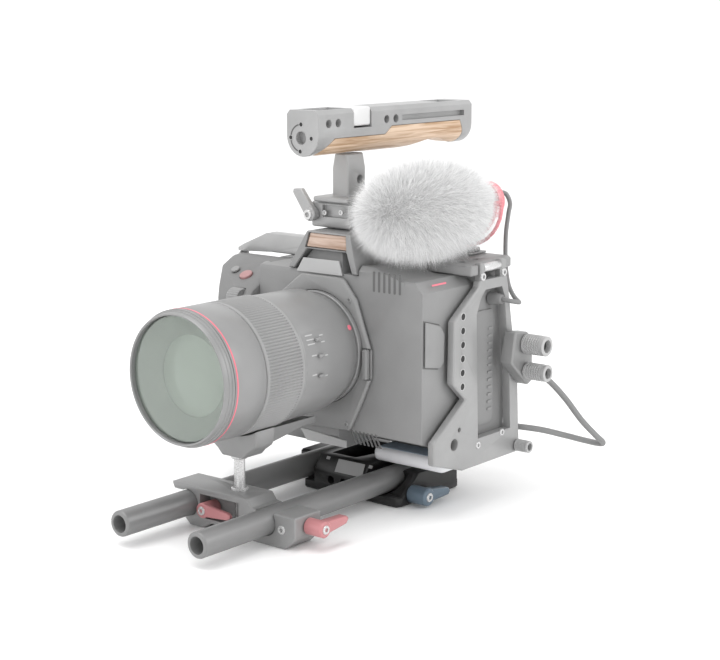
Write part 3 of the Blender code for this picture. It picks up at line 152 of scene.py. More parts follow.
def tube(path, radius, sides=20):
    """Rings of points: at each point of the path, a circle square to it, whose first radius is square to one
    fixed slanting direction."""
    path = np.asarray(path, float)
    tangent = np.gradient(path, axis=0)
    tangent /= np.linalg.norm(tangent, axis=1, keepdims=True)
    across = np.cross(tangent, (1.0, 1.0, 0.5))
    across /= np.linalg.norm(across, axis=1, keepdims=True)
    over = np.cross(tangent, across)
    t = np.linspace(0, 2 * np.pi, sides, endpoint=False)[None, :, None]
    ring = np.cos(t) * across[:, None] + np.sin(t) * over[:, None]
    return path[:, None, :] + np.reshape(radius, (-1, 1, 1)) * ring


def skin(name, body, slot, materials, *grids):
    """One piece from grids of points. The rows of a grid are closed rings that follow one another. Its two ends
    are closed to their middles, unless its last row comes back to its first. A grid may come with the number
    of its material. The UV map runs round each ring and along the rows."""
    points, quads, uvs, kinds, count = [], [], [], [], 0
    for grid in grids:
        grid, kind = grid if isinstance(grid, tuple) else (grid, 0)
        if not np.allclose(grid[0], grid[-1]):
            first, last = (np.broadcast_to(row.mean(axis=0), row.shape) for row in (grid[0], grid[-1]))
            grid = np.concatenate([first[None], grid, last[None]])
        rows, columns = grid.shape[:2]
        i, j = np.meshgrid(np.arange(rows - 1), np.arange(columns), indexing="ij")
        k = (j + 1) % columns
        quads.append(count + np.stack([i * columns + j, i * columns + k, (i + 1) * columns + k,
                                       (i + 1) * columns + j], axis=-1).reshape(-1, 4))
        u, v = j / columns, i / (rows - 1)
        du, dv = 1 / columns, 1 / (rows - 1)
        uvs.append(np.stack([np.stack([u, v], -1), np.stack([u + du, v], -1),
                             np.stack([u + du, v + dv], -1), np.stack([u, v + dv], -1)], axis=2).reshape(-1, 2))
        points.append(grid.reshape(-1, 3))
        kinds.append(np.full(len(quads[-1]), kind))
        count += rows * columns
    mesh = bpy.data.meshes.new(name)
    mesh.from_pydata(np.concatenate(points).tolist(), [], np.concatenate(quads).tolist())
    mesh.uv_layers.new(name="along").data.foreach_set("uv", np.concatenate(uvs).ravel().astype(np.float32))
    mesh.polygons.foreach_set("material_index", np.concatenate(kinds).astype(np.int32))
    for material in materials:
        mesh.materials.append(material)
    closed = bmesh.new()
    closed.from_mesh(mesh)
    bmesh.ops.remove_doubles(closed, verts=closed.verts, dist=1e-7)
    bmesh.ops.recalc_face_normals(closed, faces=closed.faces)
    closed.to_mesh(mesh)
    closed.free()
    mesh.shade_smooth()
    mesh.set_sharp_from_angle(angle=math.radians(35))
    piece = bpy.data.objects.new(name, mesh)
    bpy.context.scene.collection.objects.link(piece)
    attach(piece, body)
    return piece


def shade(red, green=None, blue=None):
    """A colour given as it shows on a screen, made linear: ((c + 0.055) / 1.055) to the power 2.4."""
    colour = np.array([red, red if green is None else green, red if blue is None else blue])
    return (*(((colour + 0.055) / 1.055) ** 2.4), 1.0)


def coating(name, colour, roughness, metallic=0.0, mottle=0.06, cloud=45.0, grain=2500.0, height=0.00002):
    """A painted, moulded or anodised surface. Broad clouds shift its colour by the share mottle, and a fine
    grain roughens it and lifts it by height."""
    made = bpy.data.materials.new(name)
    made.use_nodes = True
    nodes, links = made.node_tree.nodes, made.node_tree.links
    shader = nodes["Principled BSDF"]
    shader.inputs["Metallic"].default_value = metallic
    place = nodes.new("ShaderNodeTexCoord")
    broad = nodes.new("ShaderNodeTexNoise")
    broad.inputs["Scale"].default_value = cloud
    broad.inputs["Detail"].default_value = 3.0
    tones = nodes.new("ShaderNodeValToRGB")
    for stop, place_on, share in zip(tones.color_ramp.elements, (0.3, 0.7), (1 - mottle, 1 + mottle)):
        stop.position = place_on
        stop.color = (*(min(1.0, c * share) for c in colour[:3]), 1.0)
    fine = nodes.new("ShaderNodeTexNoise")
    fine.inputs["Scale"].default_value = grain
    fine.inputs["Detail"].default_value = 2.0
    rough = nodes.new("ShaderNodeMapRange")
    rough.inputs["To Min"].default_value = max(0.02, roughness - 0.07)
    rough.inputs["To Max"].default_value = roughness + 0.07
    bump = nodes.new("ShaderNodeBump")
    bump.inputs["Distance"].default_value = height
    bump.inputs["Strength"].default_value = 0.6
    links.new(place.outputs["Object"], broad.inputs["Vector"])
    links.new(place.outputs["Object"], fine.inputs["Vector"])
    links.new(broad.outputs["Fac"], tones.inputs["Fac"])
    links.new(tones.outputs["Color"], shader.inputs["Base Color"])
    links.new(fine.outputs["Fac"], rough.inputs["Value"])
    links.new(rough.outputs["Result"], shader.inputs["Roughness"])
    links.new(fine.outputs["Fac"], bump.inputs["Height"])
    links.new(bump.outputs["Normal"], shader.inputs["Normal"])
    return made


jacket = coating("cable_jacket", shade(0.50), 0.55, mottle=0.04, grain=1800.0)
MIC_CABLE = 0.0028
mic_route = [
    (0.0480, 0.0673, 0.1810), (0.0480, 0.0695, 0.1810), (0.0490, 0.0735, 0.1818), (0.0515, 0.0765, 0.1805),
    (0.0540, 0.0770, 0.1750), (0.0540, 0.0755, 0.1687), (0.0540, 0.0730, 0.1558), (0.0560, 0.0703, 0.1384),
    (0.0640, 0.0612, 0.1288), (0.0720, 0.0525, 0.1252), (0.0810, 0.0435, 0.1230), (0.0880, 0.0370, 0.1222),
    (0.0920, 0.0315, 0.1228), (0.0905, 0.0270, 0.1238), (0.0875, 0.0256, 0.1243), (0.0848, 0.0255, 0.1245)]
mic_path = smooth_route(mic_route)
mic_cord = skin("microphone_cable", "camera", "cable_rubber", [jacket], tube(mic_path, MIC_CABLE / 2))
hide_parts("mic_cable")

DATA_CABLE = 0.0038
data_route = [
    (0.0869, 0.0493, 0.0760), (0.0870, 0.0540, 0.0757), (0.0895, 0.0600, 0.0735), (0.0940, 0.0660, 0.0680),
    (0.1000, 0.0740, 0.0570), (0.1060, 0.0830, 0.0430), (0.1105, 0.0930, 0.0320), (0.1110, 0.1010, 0.0260),
    (0.1070, 0.1035, 0.0240), (0.1010, 0.0960, 0.0265), (0.0940, 0.0840, 0.0310), (0.0860, 0.0700, 0.0360),
    (0.0770, 0.0600, 0.0385), (0.0700, 0.0565, 0.0387), (0.0685, 0.0535, 0.0387), (0.0685, 0.0513, 0.0387)]
data_path = smooth_route(data_route)
data_cord = skin("data_cable_jacket", "camera", "cable_rubber", [jacket], tube(data_path, DATA_CABLE / 2))
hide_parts("data_cable")

# ---------------------------------------------------------------- the base plate and the rods
# The base plate is milled from aluminium and anodised black. It clamps two tubes of grey anodised aluminium,
# with chamfered, threaded ends, by means of a blue lever on its left side.


def dressed(material, slot, *names, edge=0.0003, steps=2):
    """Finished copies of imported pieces: doubles merged, flat areas joined into single faces, and each sharp
    edge rounded by the width edge."""
    made = []
    for name in names:
        node = frame["nodes"][name]
        shape = bmesh.new()
        shape.from_mesh(node.data)
        bmesh.ops.remove_doubles(shape, verts=shape.verts, dist=2e-6)
        bmesh.ops.dissolve_limit(shape, angle_limit=math.radians(0.6), use_dissolve_boundaries=False,
                                 verts=shape.verts, edges=shape.edges)
        mesh = bpy.data.meshes.new(name + "_finished")
        shape.to_mesh(mesh)
        shape.free()
        mesh.materials.append(material)
        mesh.polygons.foreach_set("material_index", np.zeros(len(mesh.polygons), np.int32))
        mesh.shade_smooth()
        piece = bpy.data.objects.new(name + "_finished", mesh)
        bpy.context.scene.collection.objects.link(piece)
        if edge:
            rounding = piece.modifiers.new("rounded_edges", "BEVEL")
            rounding.width = edge
            rounding.segments = steps
            rounding.limit_method = "ANGLE"
            rounding.angle_limit = math.radians(32)
            rounding.harden_normals = True
        else:
            mesh.set_sharp_from_angle(angle=math.radians(32))
        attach(piece, node["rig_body"])
        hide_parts(name)
        made.append(piece)
    return made


def turned(profile, centre, facing, steps=48, teeth=0):
    """Rings of points from rows of (along, radius, depth): centre + along of facing + a radius turned round it.
    With teeth, each ring's radius dips that many times by its row's depth, as half of 1 - cos."""
    profile = np.array([(*row, 0.0)[:3] for row in profile], float)
    facing = np.array(facing, float) / np.linalg.norm(facing)
    spare = (0.0, 0.0, 1.0) if abs(facing[2]) < 0.9 else (0.0, 1.0, 0.0)
    across = np.cross(facing, spare)
    across /= np.linalg.norm(across)
    over = np.cross(facing, across)
    t = np.linspace(0, 2 * np.pi, steps, endpoint=False)
    radius = profile[:, 1, None] - profile[:, 2, None] * (1 - np.cos(teeth * t)) / 2
    ring = np.cos(t)[:, None] * across + np.sin(t)[:, None] * over
    return np.array(centre, float) + profile[:, 0, None, None] * facing + radius[..., None] * ring


def socket_screw(centre, facing, size):
    """A round screw head with a six-sided recess: in the recess the radius is that of a hexagon,
    cos 30 / cos(t mod 60 - 30). Size is the head's radius."""
    t = np.linspace(0, 2 * np.pi, 24, endpoint=False)
    hexagon = math.cos(np.pi / 6) / np.cos(t % (np.pi / 3) - np.pi / 6)
    rows = turned([(size * a, size * r) for a, r in (
        (-0.1, 0.50), (0.26, 0.52), (0.32, 0.62), (0.26, 0.90), (0.10, 1.0), (-0.15, 1.0))], centre, facing, 24)
    axis = rows[:2].mean(axis=1, keepdims=True)
    rows[:2] = axis + (rows[:2] - axis) * hexagon[None, :, None]
    return rows


def hole_mouth(centre, facing, radius):
    """The mouth of a small hole: a thin bevelled lip whose lighter colour is a painted highlight on the rim, and a
    dark disc just inside it, painted shade where the hole's inside would be.
    """
    lip = turned([(-0.0001, radius * 1.2), (0.00022, radius * 1.15), (0.00022, radius), (-0.0001, radius * 0.9),
                  (-0.0001, radius * 1.2)], centre, facing, 28)
    painted_shade_disc = turned([(0.00003, radius * 0.92), (0.00009, radius * 0.88), (0.00009, radius * 0.4)],
                        centre, facing, 28)
    return [(lip, 0), (painted_shade_disc, 1)]


black_anodised = coating("black_anodised", shade(0.15), 0.36, metallic=0.2, mottle=0.15)
bore_painted_shade = coating("bore_painted_shade", shade(0.16), 0.7, mottle=0.1)
rod_coat = coating("rod_anodised", shade(0.50), 0.38, metallic=0.25, mottle=0.05)
blue_coat = coating("blue_anodised", shade(0.37, 0.43, 0.48), 0.36, metallic=0.2)
bright_steel = coating("bright_steel", shade(0.80), 0.28, metallic=0.5, mottle=0.04, height=0.000006)
pale_label = coating("pale_label", shade(0.62), 0.6, mottle=0.05)

dressed(black_anodised, "black_metal", "baseplate_body", edge=0.0005)
dressed(rod_coat, "rod_grey", "rod_left", "rod_right", edge=0.0006)
dressed(blue_coat, "blue_metal", "base_lever", edge=0.0006)
LEVER_AXIS = (-0.0140, 0.0070)
lever_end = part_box("base_lever")[1].x
skin("base_lever_screw", "base_lever", "steel", [bright_steel],
     socket_screw((lever_end, *LEVER_AXIS), (1, 0, 0), 0.0028))

base_low, base_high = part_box("baseplate_body")
slope = np.array((0.0, -0.009, 0.006))
slope_facing = slope / np.linalg.norm(slope)
ramp_low = np.array((0.0, base_low.y, 0.013))
ramp_run = np.array((0.0, 0.006, 0.009))


def on_ramp(x, share, proud=0.0):
    """A point on the sloping front of the base plate: share of the way up it, and proud of it."""
    return np.array((x, 0, 0)) + ramp_low + ramp_run * share + slope_facing * proud


PRINTED = (-0.0001, 0.00012)  # heights of a printed mark's underside and face
label_corners = [(-0.0035, 0.12), (0.0180, 0.12), (0.0170, 0.90), (-0.0040, 0.90)]
label = np.array([[on_ramp(x, share, proud) for x, share in label_corners] for proud in PRINTED])
skin("base_slope_label", "base", "black_metal", [pale_label], label)
mark_corners = [(-0.0014, 0.74), (0.0014, 0.74), (0.0014, 0.92), (-0.0014, 0.92)]
marks = [np.array([[on_ramp(x + aside, share, proud) for aside, share in mark_corners] for proud in PRINTED])
         for x in (-0.0120, 0.0215)]
skin("base_slope_marks", "base", "black_metal", [pale_label], *marks)
skin("base_plate_screws", "base", "steel", [bright_steel],
     socket_screw((-0.0415, -0.0080, 0.0123), (0, -1, 0), 0.0018),
     socket_screw((0.0120, 0.010, base_high.z - 0.0002), (0, 0, 1), 0.0022),
     socket_screw((0.0120, 0.029, base_high.z - 0.0002), (0, 0, 1), 0.0022),
     socket_screw((-0.0010, 0.0305, base_high.z - 0.0002), (0, 0, 1), 0.0022))

# ---------------------------------------------------------------- the quick-release plate
# A thick plate of pale anodised aluminium that slides into the base plate and screws to the cage. A thin pad
# of blue-grey rubber covers its top.

plate_coat = coating("pale_plate", shade(0.93, 0.93, 0.94), 0.42, mottle=0.02)
plate_rubber = coating("plate_rubber", shade(0.70, 0.76, 0.82), 0.6, mottle=0.04)
dressed(plate_coat, "pale_plate", "quick_release_plate", edge=0.0004)
plate_low, plate_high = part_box("quick_release_plate")
PAD_INSET = 0.0028


def rounded_panel(x_ends, y_ends, radius, count=16):
    """A rectangle with round corners, anticlockwise: a quarter circle about each corner's own middle."""
    turns = np.radians(np.linspace(0, 90, count // 4))
    quarter = [np.stack([np.cos(turns + np.pi / 2 * k), np.sin(turns + np.pi / 2 * k)], -1) for k in range(4)]
    insides = [(x_ends[1], y_ends[1]), (x_ends[0], y_ends[1]), (x_ends[0], y_ends[0]), (x_ends[1], y_ends[0])]
    signs = [(-1, -1), (1, -1), (1, 1), (-1, 1)]
    return np.concatenate([np.array(inside) + radius * np.array(sign) + radius * arc
                           for inside, sign, arc in zip(insides, signs, quarter)])


INNER_SHARE = 0.97


def panel_grid(outline, axes, face, outward, heights, drawn_in):
    """An outline in the plane of two axes, at each height above a face whose place is on the third. Its last ring
    is drawn in towards the middle by the share drawn_in, and a flat ring a little further in ends it."""
    third = ({0, 1, 2} - set(axes)).pop()
    middle = outline.mean(axis=0)
    rows = []
    for i, height in enumerate(heights):
        row = np.zeros((len(outline), 3))
        row[:, axes] = outline + (middle - outline) * (drawn_in if i == len(heights) - 1 else 0.0)
        row[:, third] = face + outward * height
        rows.append(row)
    centre = rows[-1].mean(axis=0)
    return np.array([*rows, centre + (rows[-1] - centre) * INNER_SHARE])


pad_outline = rounded_panel((plate_low.x + PAD_INSET, plate_high.x - PAD_INSET),
                            (plate_low.y + PAD_INSET, plate_high.y - PAD_INSET), 0.0025)
skin("plate_top_pad", "camera", "pale_plate", [plate_rubber],
     panel_grid(pad_outline, (0, 1), plate_high.z, 1, (-0.0003, 0.00015), 0.005))

# ---------------------------------------------------------------- the lens support
# A grey anodised clamp grips both rods with two red levers. A steel post stands in it, and its V-shaped
# cradle carries the lens barrel.

support_coat = coating("support_anodised", shade(0.56), 0.40, metallic=0.2)
cradle_coat = coating("cradle_anodised", shade(0.58), 0.42, metallic=0.2)
red_coat = coating("red_anodised", shade(0.74, 0.50, 0.51), 0.36, metallic=0.15)
dressed(support_coat, "anodised_grey", "support_clamp", edge=0.0006)
dressed(cradle_coat, "anodised_grey", "lens_cradle", edge=0.0005)
dressed(bright_steel, "steel", "support_post", edge=0.0003)
dressed(red_coat, "red_metal", "support_side_lever", "support_front_lever", edge=0.0006)
side_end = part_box("support_side_lever")[1].x
front_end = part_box("support_front_lever")[0].y
skin("side_lever_screw", "side_lever", "steel", [bright_steel],
     socket_screw((side_end, -0.1150, 0.0127), (1, 0, 0), 0.0026))
skin("front_lever_screw", "front_lever", "steel", [bright_steel],
     socket_screw((-0.0155, front_end, 0.0115), (0, -1, 0), 0.0026))

clamp_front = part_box("support_clamp")[0].y
post_low, post_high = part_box("support_post")
post_middle = ((post_low.x + post_high.x) / 2, (post_low.y + post_high.y) / 2)
clamp_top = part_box("support_clamp")[1].z
skin("support_clamp_screw", "support", "steel", [bright_steel],
     socket_screw((0.0425, clamp_front, 0.0108), (0, -1, 0), 0.0026))
collar = [(0.0, 0.0050), (0.0010, 0.0050), (0.0016, 0.0044), (0.0016, 0.0036), (0.0, 0.0036), (0.0, 0.0050)]
skin("post_foot_collar", "support", "steel", [bright_steel],
     turned(collar, (*post_middle, clamp_top), (0, 0, 1), 40))
skin("post_head_collar", "cradle", "steel", [bright_steel],
     turned(collar, (*post_middle, post_high.z + 0.0002), (0, 0, -1), 40))

# ---------------------------------------------------------------- the camera body
# Two moulded half shells with a matte, lightly textured finish. The front one carries the mount's cover
# plate, screwed on at its corners, and the hump with its blank plate. The left side has a round flap and a
# ribbed rubber door over the sockets.

body_coat = coating("body_moulding", shade(0.53), 0.5, mottle=0.05, grain=1700.0, height=0.00003)
mount_coat = coating("mount_cover", shade(0.55), 0.44, mottle=0.05, grain=2200.0)
board_coat = coating("board_green", shade(0.16, 0.38, 0.26), 0.45, mottle=0.15, cloud=120.0)
sensor_coat = coating("sensor_glass", shade(0.20, 0.24, 0.24), 0.12, mottle=0.2)
dressed(body_coat, "moulded_grey", "camera_front_housing", "camera_rear_housing", edge=0.0006)
dressed(mount_coat, "moulded_grey", "mount_plate", edge=0.0004)
mount_metal = coating("mount_metal", shade(0.58), 0.34, metallic=0.3)
dressed(mount_metal, "steel", "lens_mount_ring", edge=0.0002)
dressed(body_coat, "moulded_grey", "lens_release_button", edge=0.0004)
dressed(board_coat, "circuit_board", "main_board", edge=0.0)
dressed(sensor_coat, "sensor", "image_sensor", edge=0.0)
dressed(body_coat, "moulded_grey", "battery", "fan_rotor", edge=0.0003)
rubber_coat = coating("flap_rubber", shade(0.55), 0.65, mottle=0.05, grain=1400.0)
dressed(rubber_coat, "moulded_grey", "side_cover", edge=0.0003)

mount_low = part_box("mount_plate")[0]
screw_steel = coating("screw_steel", shade(0.60), 0.35, metallic=0.5)
skin("mount_plate_screws", "camera", "steel", [screw_steel],
     *(socket_screw((x, mount_low.y, z), (0, -1, 0), 0.0016)
       for x, z in ((-0.0232, 0.1268), (0.0246, 0.1268), (-0.0300, 0.0690), (0.0220, 0.0520))))
red_dot = coating("red_enamel", shade(0.88, 0.46, 0.52), 0.4)
body_low, body_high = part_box("camera_front_housing")
INLAID = (-0.0002, 0.0005, 0.0006)  # heights of an inlaid plate's foot, rim and top above the body
PAINTED = (-0.0002, 0.0001, 0.00012)
hump_plate_coat = coating("hump_plate", shade(0.70), 0.5, mottle=0.03)
hump_outline = np.array([(-0.0190, 0.1398), (0.0163, 0.1400), (0.0138, 0.1486), (-0.0138, 0.1483)])
skin("hump_plate", "camera", "moulded_grey", [hump_plate_coat],
     panel_grid(hump_outline, (0, 2), body_low.y, -1, INLAID, 0.03))
chin_outline = np.array([(-0.0170, 0.0430), (-0.0120, 0.0362), (0.0190, 0.0362), (0.0190, 0.0405),
                         (-0.0120, 0.0430)])
skin("chin_strip", "camera", "moulded_grey", [hump_plate_coat],
     panel_grid(chin_outline, (0, 2), body_low.y, -1, INLAID, 0.03))
groove_coat = coating("groove_shadow", shade(0.40), 0.6, mottle=0.05)
grooves = [panel_grid(rounded_panel((x, x + 0.0016), (0.1330, 0.1450), 0.0007), (0, 2), body_low.y, -1, PAINTED,
                      0.01)
           for x in np.arange(0.0390, 0.0600, 0.0038)]
skin("shoulder_grooves", "camera", "moulded_grey", [groove_coat], *grooves)
slat = np.array([(0.0, 0.0480), (0.0013, 0.0480), (0.0053, 0.0400), (0.0040, 0.0400)])
slats = [panel_grid(slat + (x, 0.0), (0, 2), body_low.y, -1, PAINTED, 0.01)
         for x in np.arange(0.0225, 0.0420, 0.0030)]
skin("chin_vents", "camera", "moulded_grey", [groove_coat], *slats)
flap_low, flap_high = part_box("side_cover")
SEAM = 0.0009
seam_outline = np.array([(flap_low.y - SEAM, flap_low.z + 0.0018), (-0.0262, flap_low.z - SEAM),
                         (flap_high.y + 0.0002, flap_low.z + 0.0024), (flap_high.y + SEAM, flap_high.z - 0.0085),
                         (-0.0252, flap_high.z - 0.0030), (flap_low.y - SEAM, flap_high.z + SEAM)])
skin("side_cover_seam", "camera", "moulded_grey", [groove_coat],
     panel_grid(seam_outline, (1, 2), body_high.x, 1, PAINTED, 0.01))

DOOR_FRONT, DOOR_REAR, DOOR_FOOT, DOOR_HEAD = 0.0095, 0.0290, 0.0480, 0.1180
door_coat = coating("door_rubber", shade(0.52), 0.6, mottle=0.05, grain=1200.0)
skin("socket_door", "camera", "moulded_grey", [door_coat],
     panel_grid(rounded_panel((DOOR_FRONT, DOOR_REAR), (DOOR_FOOT, DOOR_HEAD), 0.0025), (1, 2), body_high.x, 1,
                (-0.0002, 0.0009, 0.0012), 0.03))
RIB_PITCH = 0.0045
ribs = [panel_grid(rounded_panel((DOOR_FRONT + 0.0130, DOOR_REAR - 0.0020), (z, z + 0.0016), 0.0006), (1, 2),
                   body_high.x, 1, (0.0008, 0.0016, 0.0018), 0.02)
        for z in np.arange(DOOR_FOOT + 0.0080, DOOR_HEAD - 0.0080, RIB_PITCH)]
skin("socket_door_ribs", "camera", "moulded_grey", [rubber_coat], *ribs)
skin("side_red_mark", "camera", "red_plastic", [red_dot],
     panel_grid(rounded_panel((-0.0320, -0.0185), (0.1386, 0.1396), 0.0004), (1, 2), body_high.x, 1, PAINTED, 0.01))

# ---------------------------------------------------------------- the hand grip and its controls
# The grip is the same moulding with a coarser rubber skin. Its sloping top holds the record and stills
# buttons and the power switch, and a ribbed wheel lies across its front edge.

grip_coat = coating("grip_rubber", shade(0.47), 0.62, mottle=0.05, grain=900.0, height=0.00010)
dressed(grip_coat, "moulded_grey", "grip", edge=0.0005)
record_coat = coating("record_red", shade(0.66, 0.50, 0.50), 0.4)
dressed(record_coat, "button_red", "record_button", edge=0.0003)
dressed(mount_coat, "moulded_grey", "stills_button", "power_switch", edge=0.0003)
wheel_low, wheel_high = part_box("control_wheel")
wheel_middle = (wheel_low + wheel_high) / 2
wheel_radius = (wheel_high.y - wheel_low.y) / 2
wheel_half = (wheel_high.x - wheel_low.x) / 2
wheel_profile = [(-wheel_half, wheel_radius * 0.86), (-wheel_half * 0.8, wheel_radius * 0.98, 0.0004),
                 (wheel_half * 0.8, wheel_radius * 0.98, 0.0004), (wheel_half, wheel_radius * 0.86)]
wheel = skin("ribbed_wheel", "wheel", "moulded_grey", [mount_coat],
             turned(wheel_profile, tuple(wheel_middle), (1, 0, 0), 144, 24))
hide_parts("control_wheel")

# ---------------------------------------------------------------- the screen
# A tilting touch screen hinged along its top edge: dark glass set into a moulded frame.

screen_glass = coating("screen_glass", shade(0.12), 0.08, mottle=0.02)
dressed(body_coat, "moulded_grey", "lcd_screen", edge=0.0006)
screen_low, screen_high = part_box("lcd_screen")
BORDER = 0.0045
skin("screen_face", "screen", "lens_glass", [screen_glass],
     panel_grid(rounded_panel((screen_low.x + BORDER, screen_high.x - BORDER),
                              (screen_low.z + BORDER, screen_high.z - BORDER), 0.0030, 32), (0, 2),
                screen_high.y, 1, (-0.0002, 0.0003, 0.0004), 0.005))

# ---------------------------------------------------------------- the lens
# Nested aluminium barrels with a satin finish and a ribbed rubber focus ring. A red line runs round the
# front barrel. Behind the coated front element, stepped rings lead down to the inner glass.

lens_coat = coating("lens_satin", shade(0.55), 0.36, metallic=0.15, mottle=0.04, grain=3200.0, height=0.000006)
ring_rubber = coating("focus_rubber", shade(0.57), 0.5, mottle=0.04, grain=1500.0, height=0.000008)
dressed(lens_coat, "lens_grey", "lens_rear_barrel", "lens_front_barrel", edge=0.0003)
dressed(mount_coat, "lens_grey", "lens_switch_1", "lens_switch_2", "lens_switch_3", edge=0.0003)

ring_low, ring_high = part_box("focus_ring")
LENS_RADIUS = ring_high.x
LENS_AXIS = (0.0, 0.0, (ring_low.z + ring_high.z) / 2)
RIBS = 130
RIB_DEPTH = 0.0008
start, end = -ring_high.y, -ring_low.y
land = 0.0022
focus_profile = [(start, LENS_RADIUS - 0.0030), (start, LENS_RADIUS - 0.0005), (start + 0.0005, LENS_RADIUS),
                 (start + land, LENS_RADIUS), (start + land + 0.0004, LENS_RADIUS, RIB_DEPTH),
                 (end - land - 0.0004, LENS_RADIUS, RIB_DEPTH), (end - land, LENS_RADIUS),
                 (end - 0.0005, LENS_RADIUS), (end, LENS_RADIUS - 0.0005), (end, LENS_RADIUS - 0.0030),
                 (start, LENS_RADIUS - 0.0030)]
focus = skin("ribbed_focus_ring", "focus_ring", "lens_grey", [ring_rubber],
             turned(focus_profile, LENS_AXIS, (0, -1, 0), RIBS * 6, RIBS))
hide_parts("focus_ring")

RED_LINE = 0.1549  # distance of the line's middle from the origin plane
skin("red_line", "camera", "red_plastic", [red_dot],
     turned([(RED_LINE - 0.0005, LENS_RADIUS - 0.0006), (RED_LINE - 0.0005, LENS_RADIUS + 0.0001),
             (RED_LINE + 0.0005, LENS_RADIUS + 0.0001), (RED_LINE + 0.0005, LENS_RADIUS - 0.0006),
             (RED_LINE - 0.0005, LENS_RADIUS - 0.0006)], LENS_AXIS, (0, -1, 0), 128))

bezel_low, bezel_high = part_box("lens_bezel")
back, front = -bezel_high.y, -bezel_low.y
GLASS_EDGE = 0.0350
GLASS_SEAT = 0.0026  # from the bezel's rim back to the edge of the glass
bezel = skin("stepped_bezel", "camera", "lens_grey", [lens_coat],
             turned([(back, GLASS_EDGE + 0.0004), (back, LENS_RADIUS - 0.0004), (back + 0.0004, LENS_RADIUS),
                     (back + 0.0016, LENS_RADIUS), (back + 0.0018, LENS_RADIUS - 0.0006),
                     (back + 0.0034, LENS_RADIUS - 0.0009), (back + 0.0036, LENS_RADIUS - 0.0013),
                     (front - 0.0004, LENS_RADIUS - 0.0017), (front, LENS_RADIUS - 0.0020),
                     (front, LENS_RADIUS - 0.0026), (front - 0.0005, GLASS_EDGE + 0.0004),
                     (back, GLASS_EDGE + 0.0004)], LENS_AXIS, (0, -1, 0), 160))
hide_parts("lens_bezel")

coated_glass = bpy.data.materials.new("coated_glass")
coated_glass.use_nodes = True
glass_shader = coated_glass.node_tree.nodes["Principled BSDF"]
glass_shader.inputs["Base Color"].default_value = (0.965, 0.975, 0.965, 1.0)
glass_shader.inputs["Roughness"].default_value = 0.02
glass_shader.inputs["IOR"].default_value = 1.45
glass_shader.inputs["Transmission Weight"].default_value = 0.96
glass_shader.inputs["Coat Weight"].default_value = 0.3
glass_shader.inputs["Coat Tint"].default_value = (0.92, 1.0, 0.95, 1.0)
rim, crown = front - GLASS_SEAT - 0.0006, front - 0.0010
bulge = np.linspace(1.0, 0.03, 16)
DISH = 0.0012
dome = [(rim + DISH * (1 - s ** 2), GLASS_EDGE * s) for s in bulge[::-1]] + [(rim + 0.0006, GLASS_EDGE)]
dome += [(rim + 0.0006 + (crown - rim - 0.0006) * (1 - s ** 2), GLASS_EDGE * s) for s in bulge]
front_glass = skin("front_glass", "camera", "lens_glass", [coated_glass], turned(dome, LENS_AXIS, (0, -1, 0), 96))
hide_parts("front_element")
baffle_coat = coating("baffle_satin", shade(0.60, 0.61, 0.59), 0.5, mottle=0.02, grain=3000.0, height=0.000002)
CONE_DEPTH = 0.0090
INNER_EDGE = 0.0242
cone_wall = [(rim - 0.0004, GLASS_EDGE - 0.0004), (rim - 0.0010, GLASS_EDGE - 0.0011)]
for step in range(5):
    share = (step + 1) / 5
    ledge = GLASS_EDGE - 0.0011 + (INNER_EDGE - GLASS_EDGE) * share
    cone_wall += [(rim - 0.0010 - CONE_DEPTH * (share - 0.02), ledge),
                  (rim - 0.0010 - CONE_DEPTH * share, ledge - 0.0001)]
cone_wall += [(rim - CONE_DEPTH - 0.0030, INNER_EDGE - 0.0012), (rim - CONE_DEPTH - 0.0030, GLASS_EDGE - 0.0004),
              (rim - 0.0004, GLASS_EDGE - 0.0004)]
skin("lens_baffle", "camera", "lens_grey", [baffle_coat], turned(cone_wall, LENS_AXIS, (0, -1, 0), 96))
inner_coat = coating("inner_glass", shade(0.62, 0.64, 0.61), 0.10, mottle=0.03, cloud=30.0, grain=30.0, height=0.0)
inner = [(rim - CONE_DEPTH - 0.0028, 0.0004), (rim - CONE_DEPTH - 0.0028, INNER_EDGE)]
inner += [(rim - CONE_DEPTH - 0.0020 + 0.0045 * (1 - s ** 2), INNER_EDGE * s) for s in np.linspace(1, 0.02, 14)]
skin("inner_element", "camera", "lens_glass", [inner_coat], turned(inner, LENS_AXIS, (0, -1, 0), 96))
dressed(inner_coat, "lens_glass", "rear_glass_group", edge=0.0)

barrel_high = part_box("lens_rear_barrel")[1]


def on_barrel(along, angle, radius):
    """Points on a barrel: along in front of the origin plane, at an angle up from its left side."""
    along, angle, radius = np.broadcast_arrays(along, np.radians(angle), radius)
    return np.stack([radius * np.cos(angle), -along, LENS_AXIS[2] + radius * np.sin(angle)], -1)


def barrel_patch(starts, ends, low, high, base, proud, count=20):
    """A panel that follows the barrel between two angles: rings round its section at each angle. The section is
    the rectangle from starts to ends along the barrel, and from base to base + proud across it."""
    angles = np.linspace(low, high, count)[:, None]
    along = np.array([starts, ends, ends, starts])[None]
    radius = np.array([base - 0.0006, base - 0.0006, base + proud, base + proud])[None]
    return on_barrel(along, angles, radius)


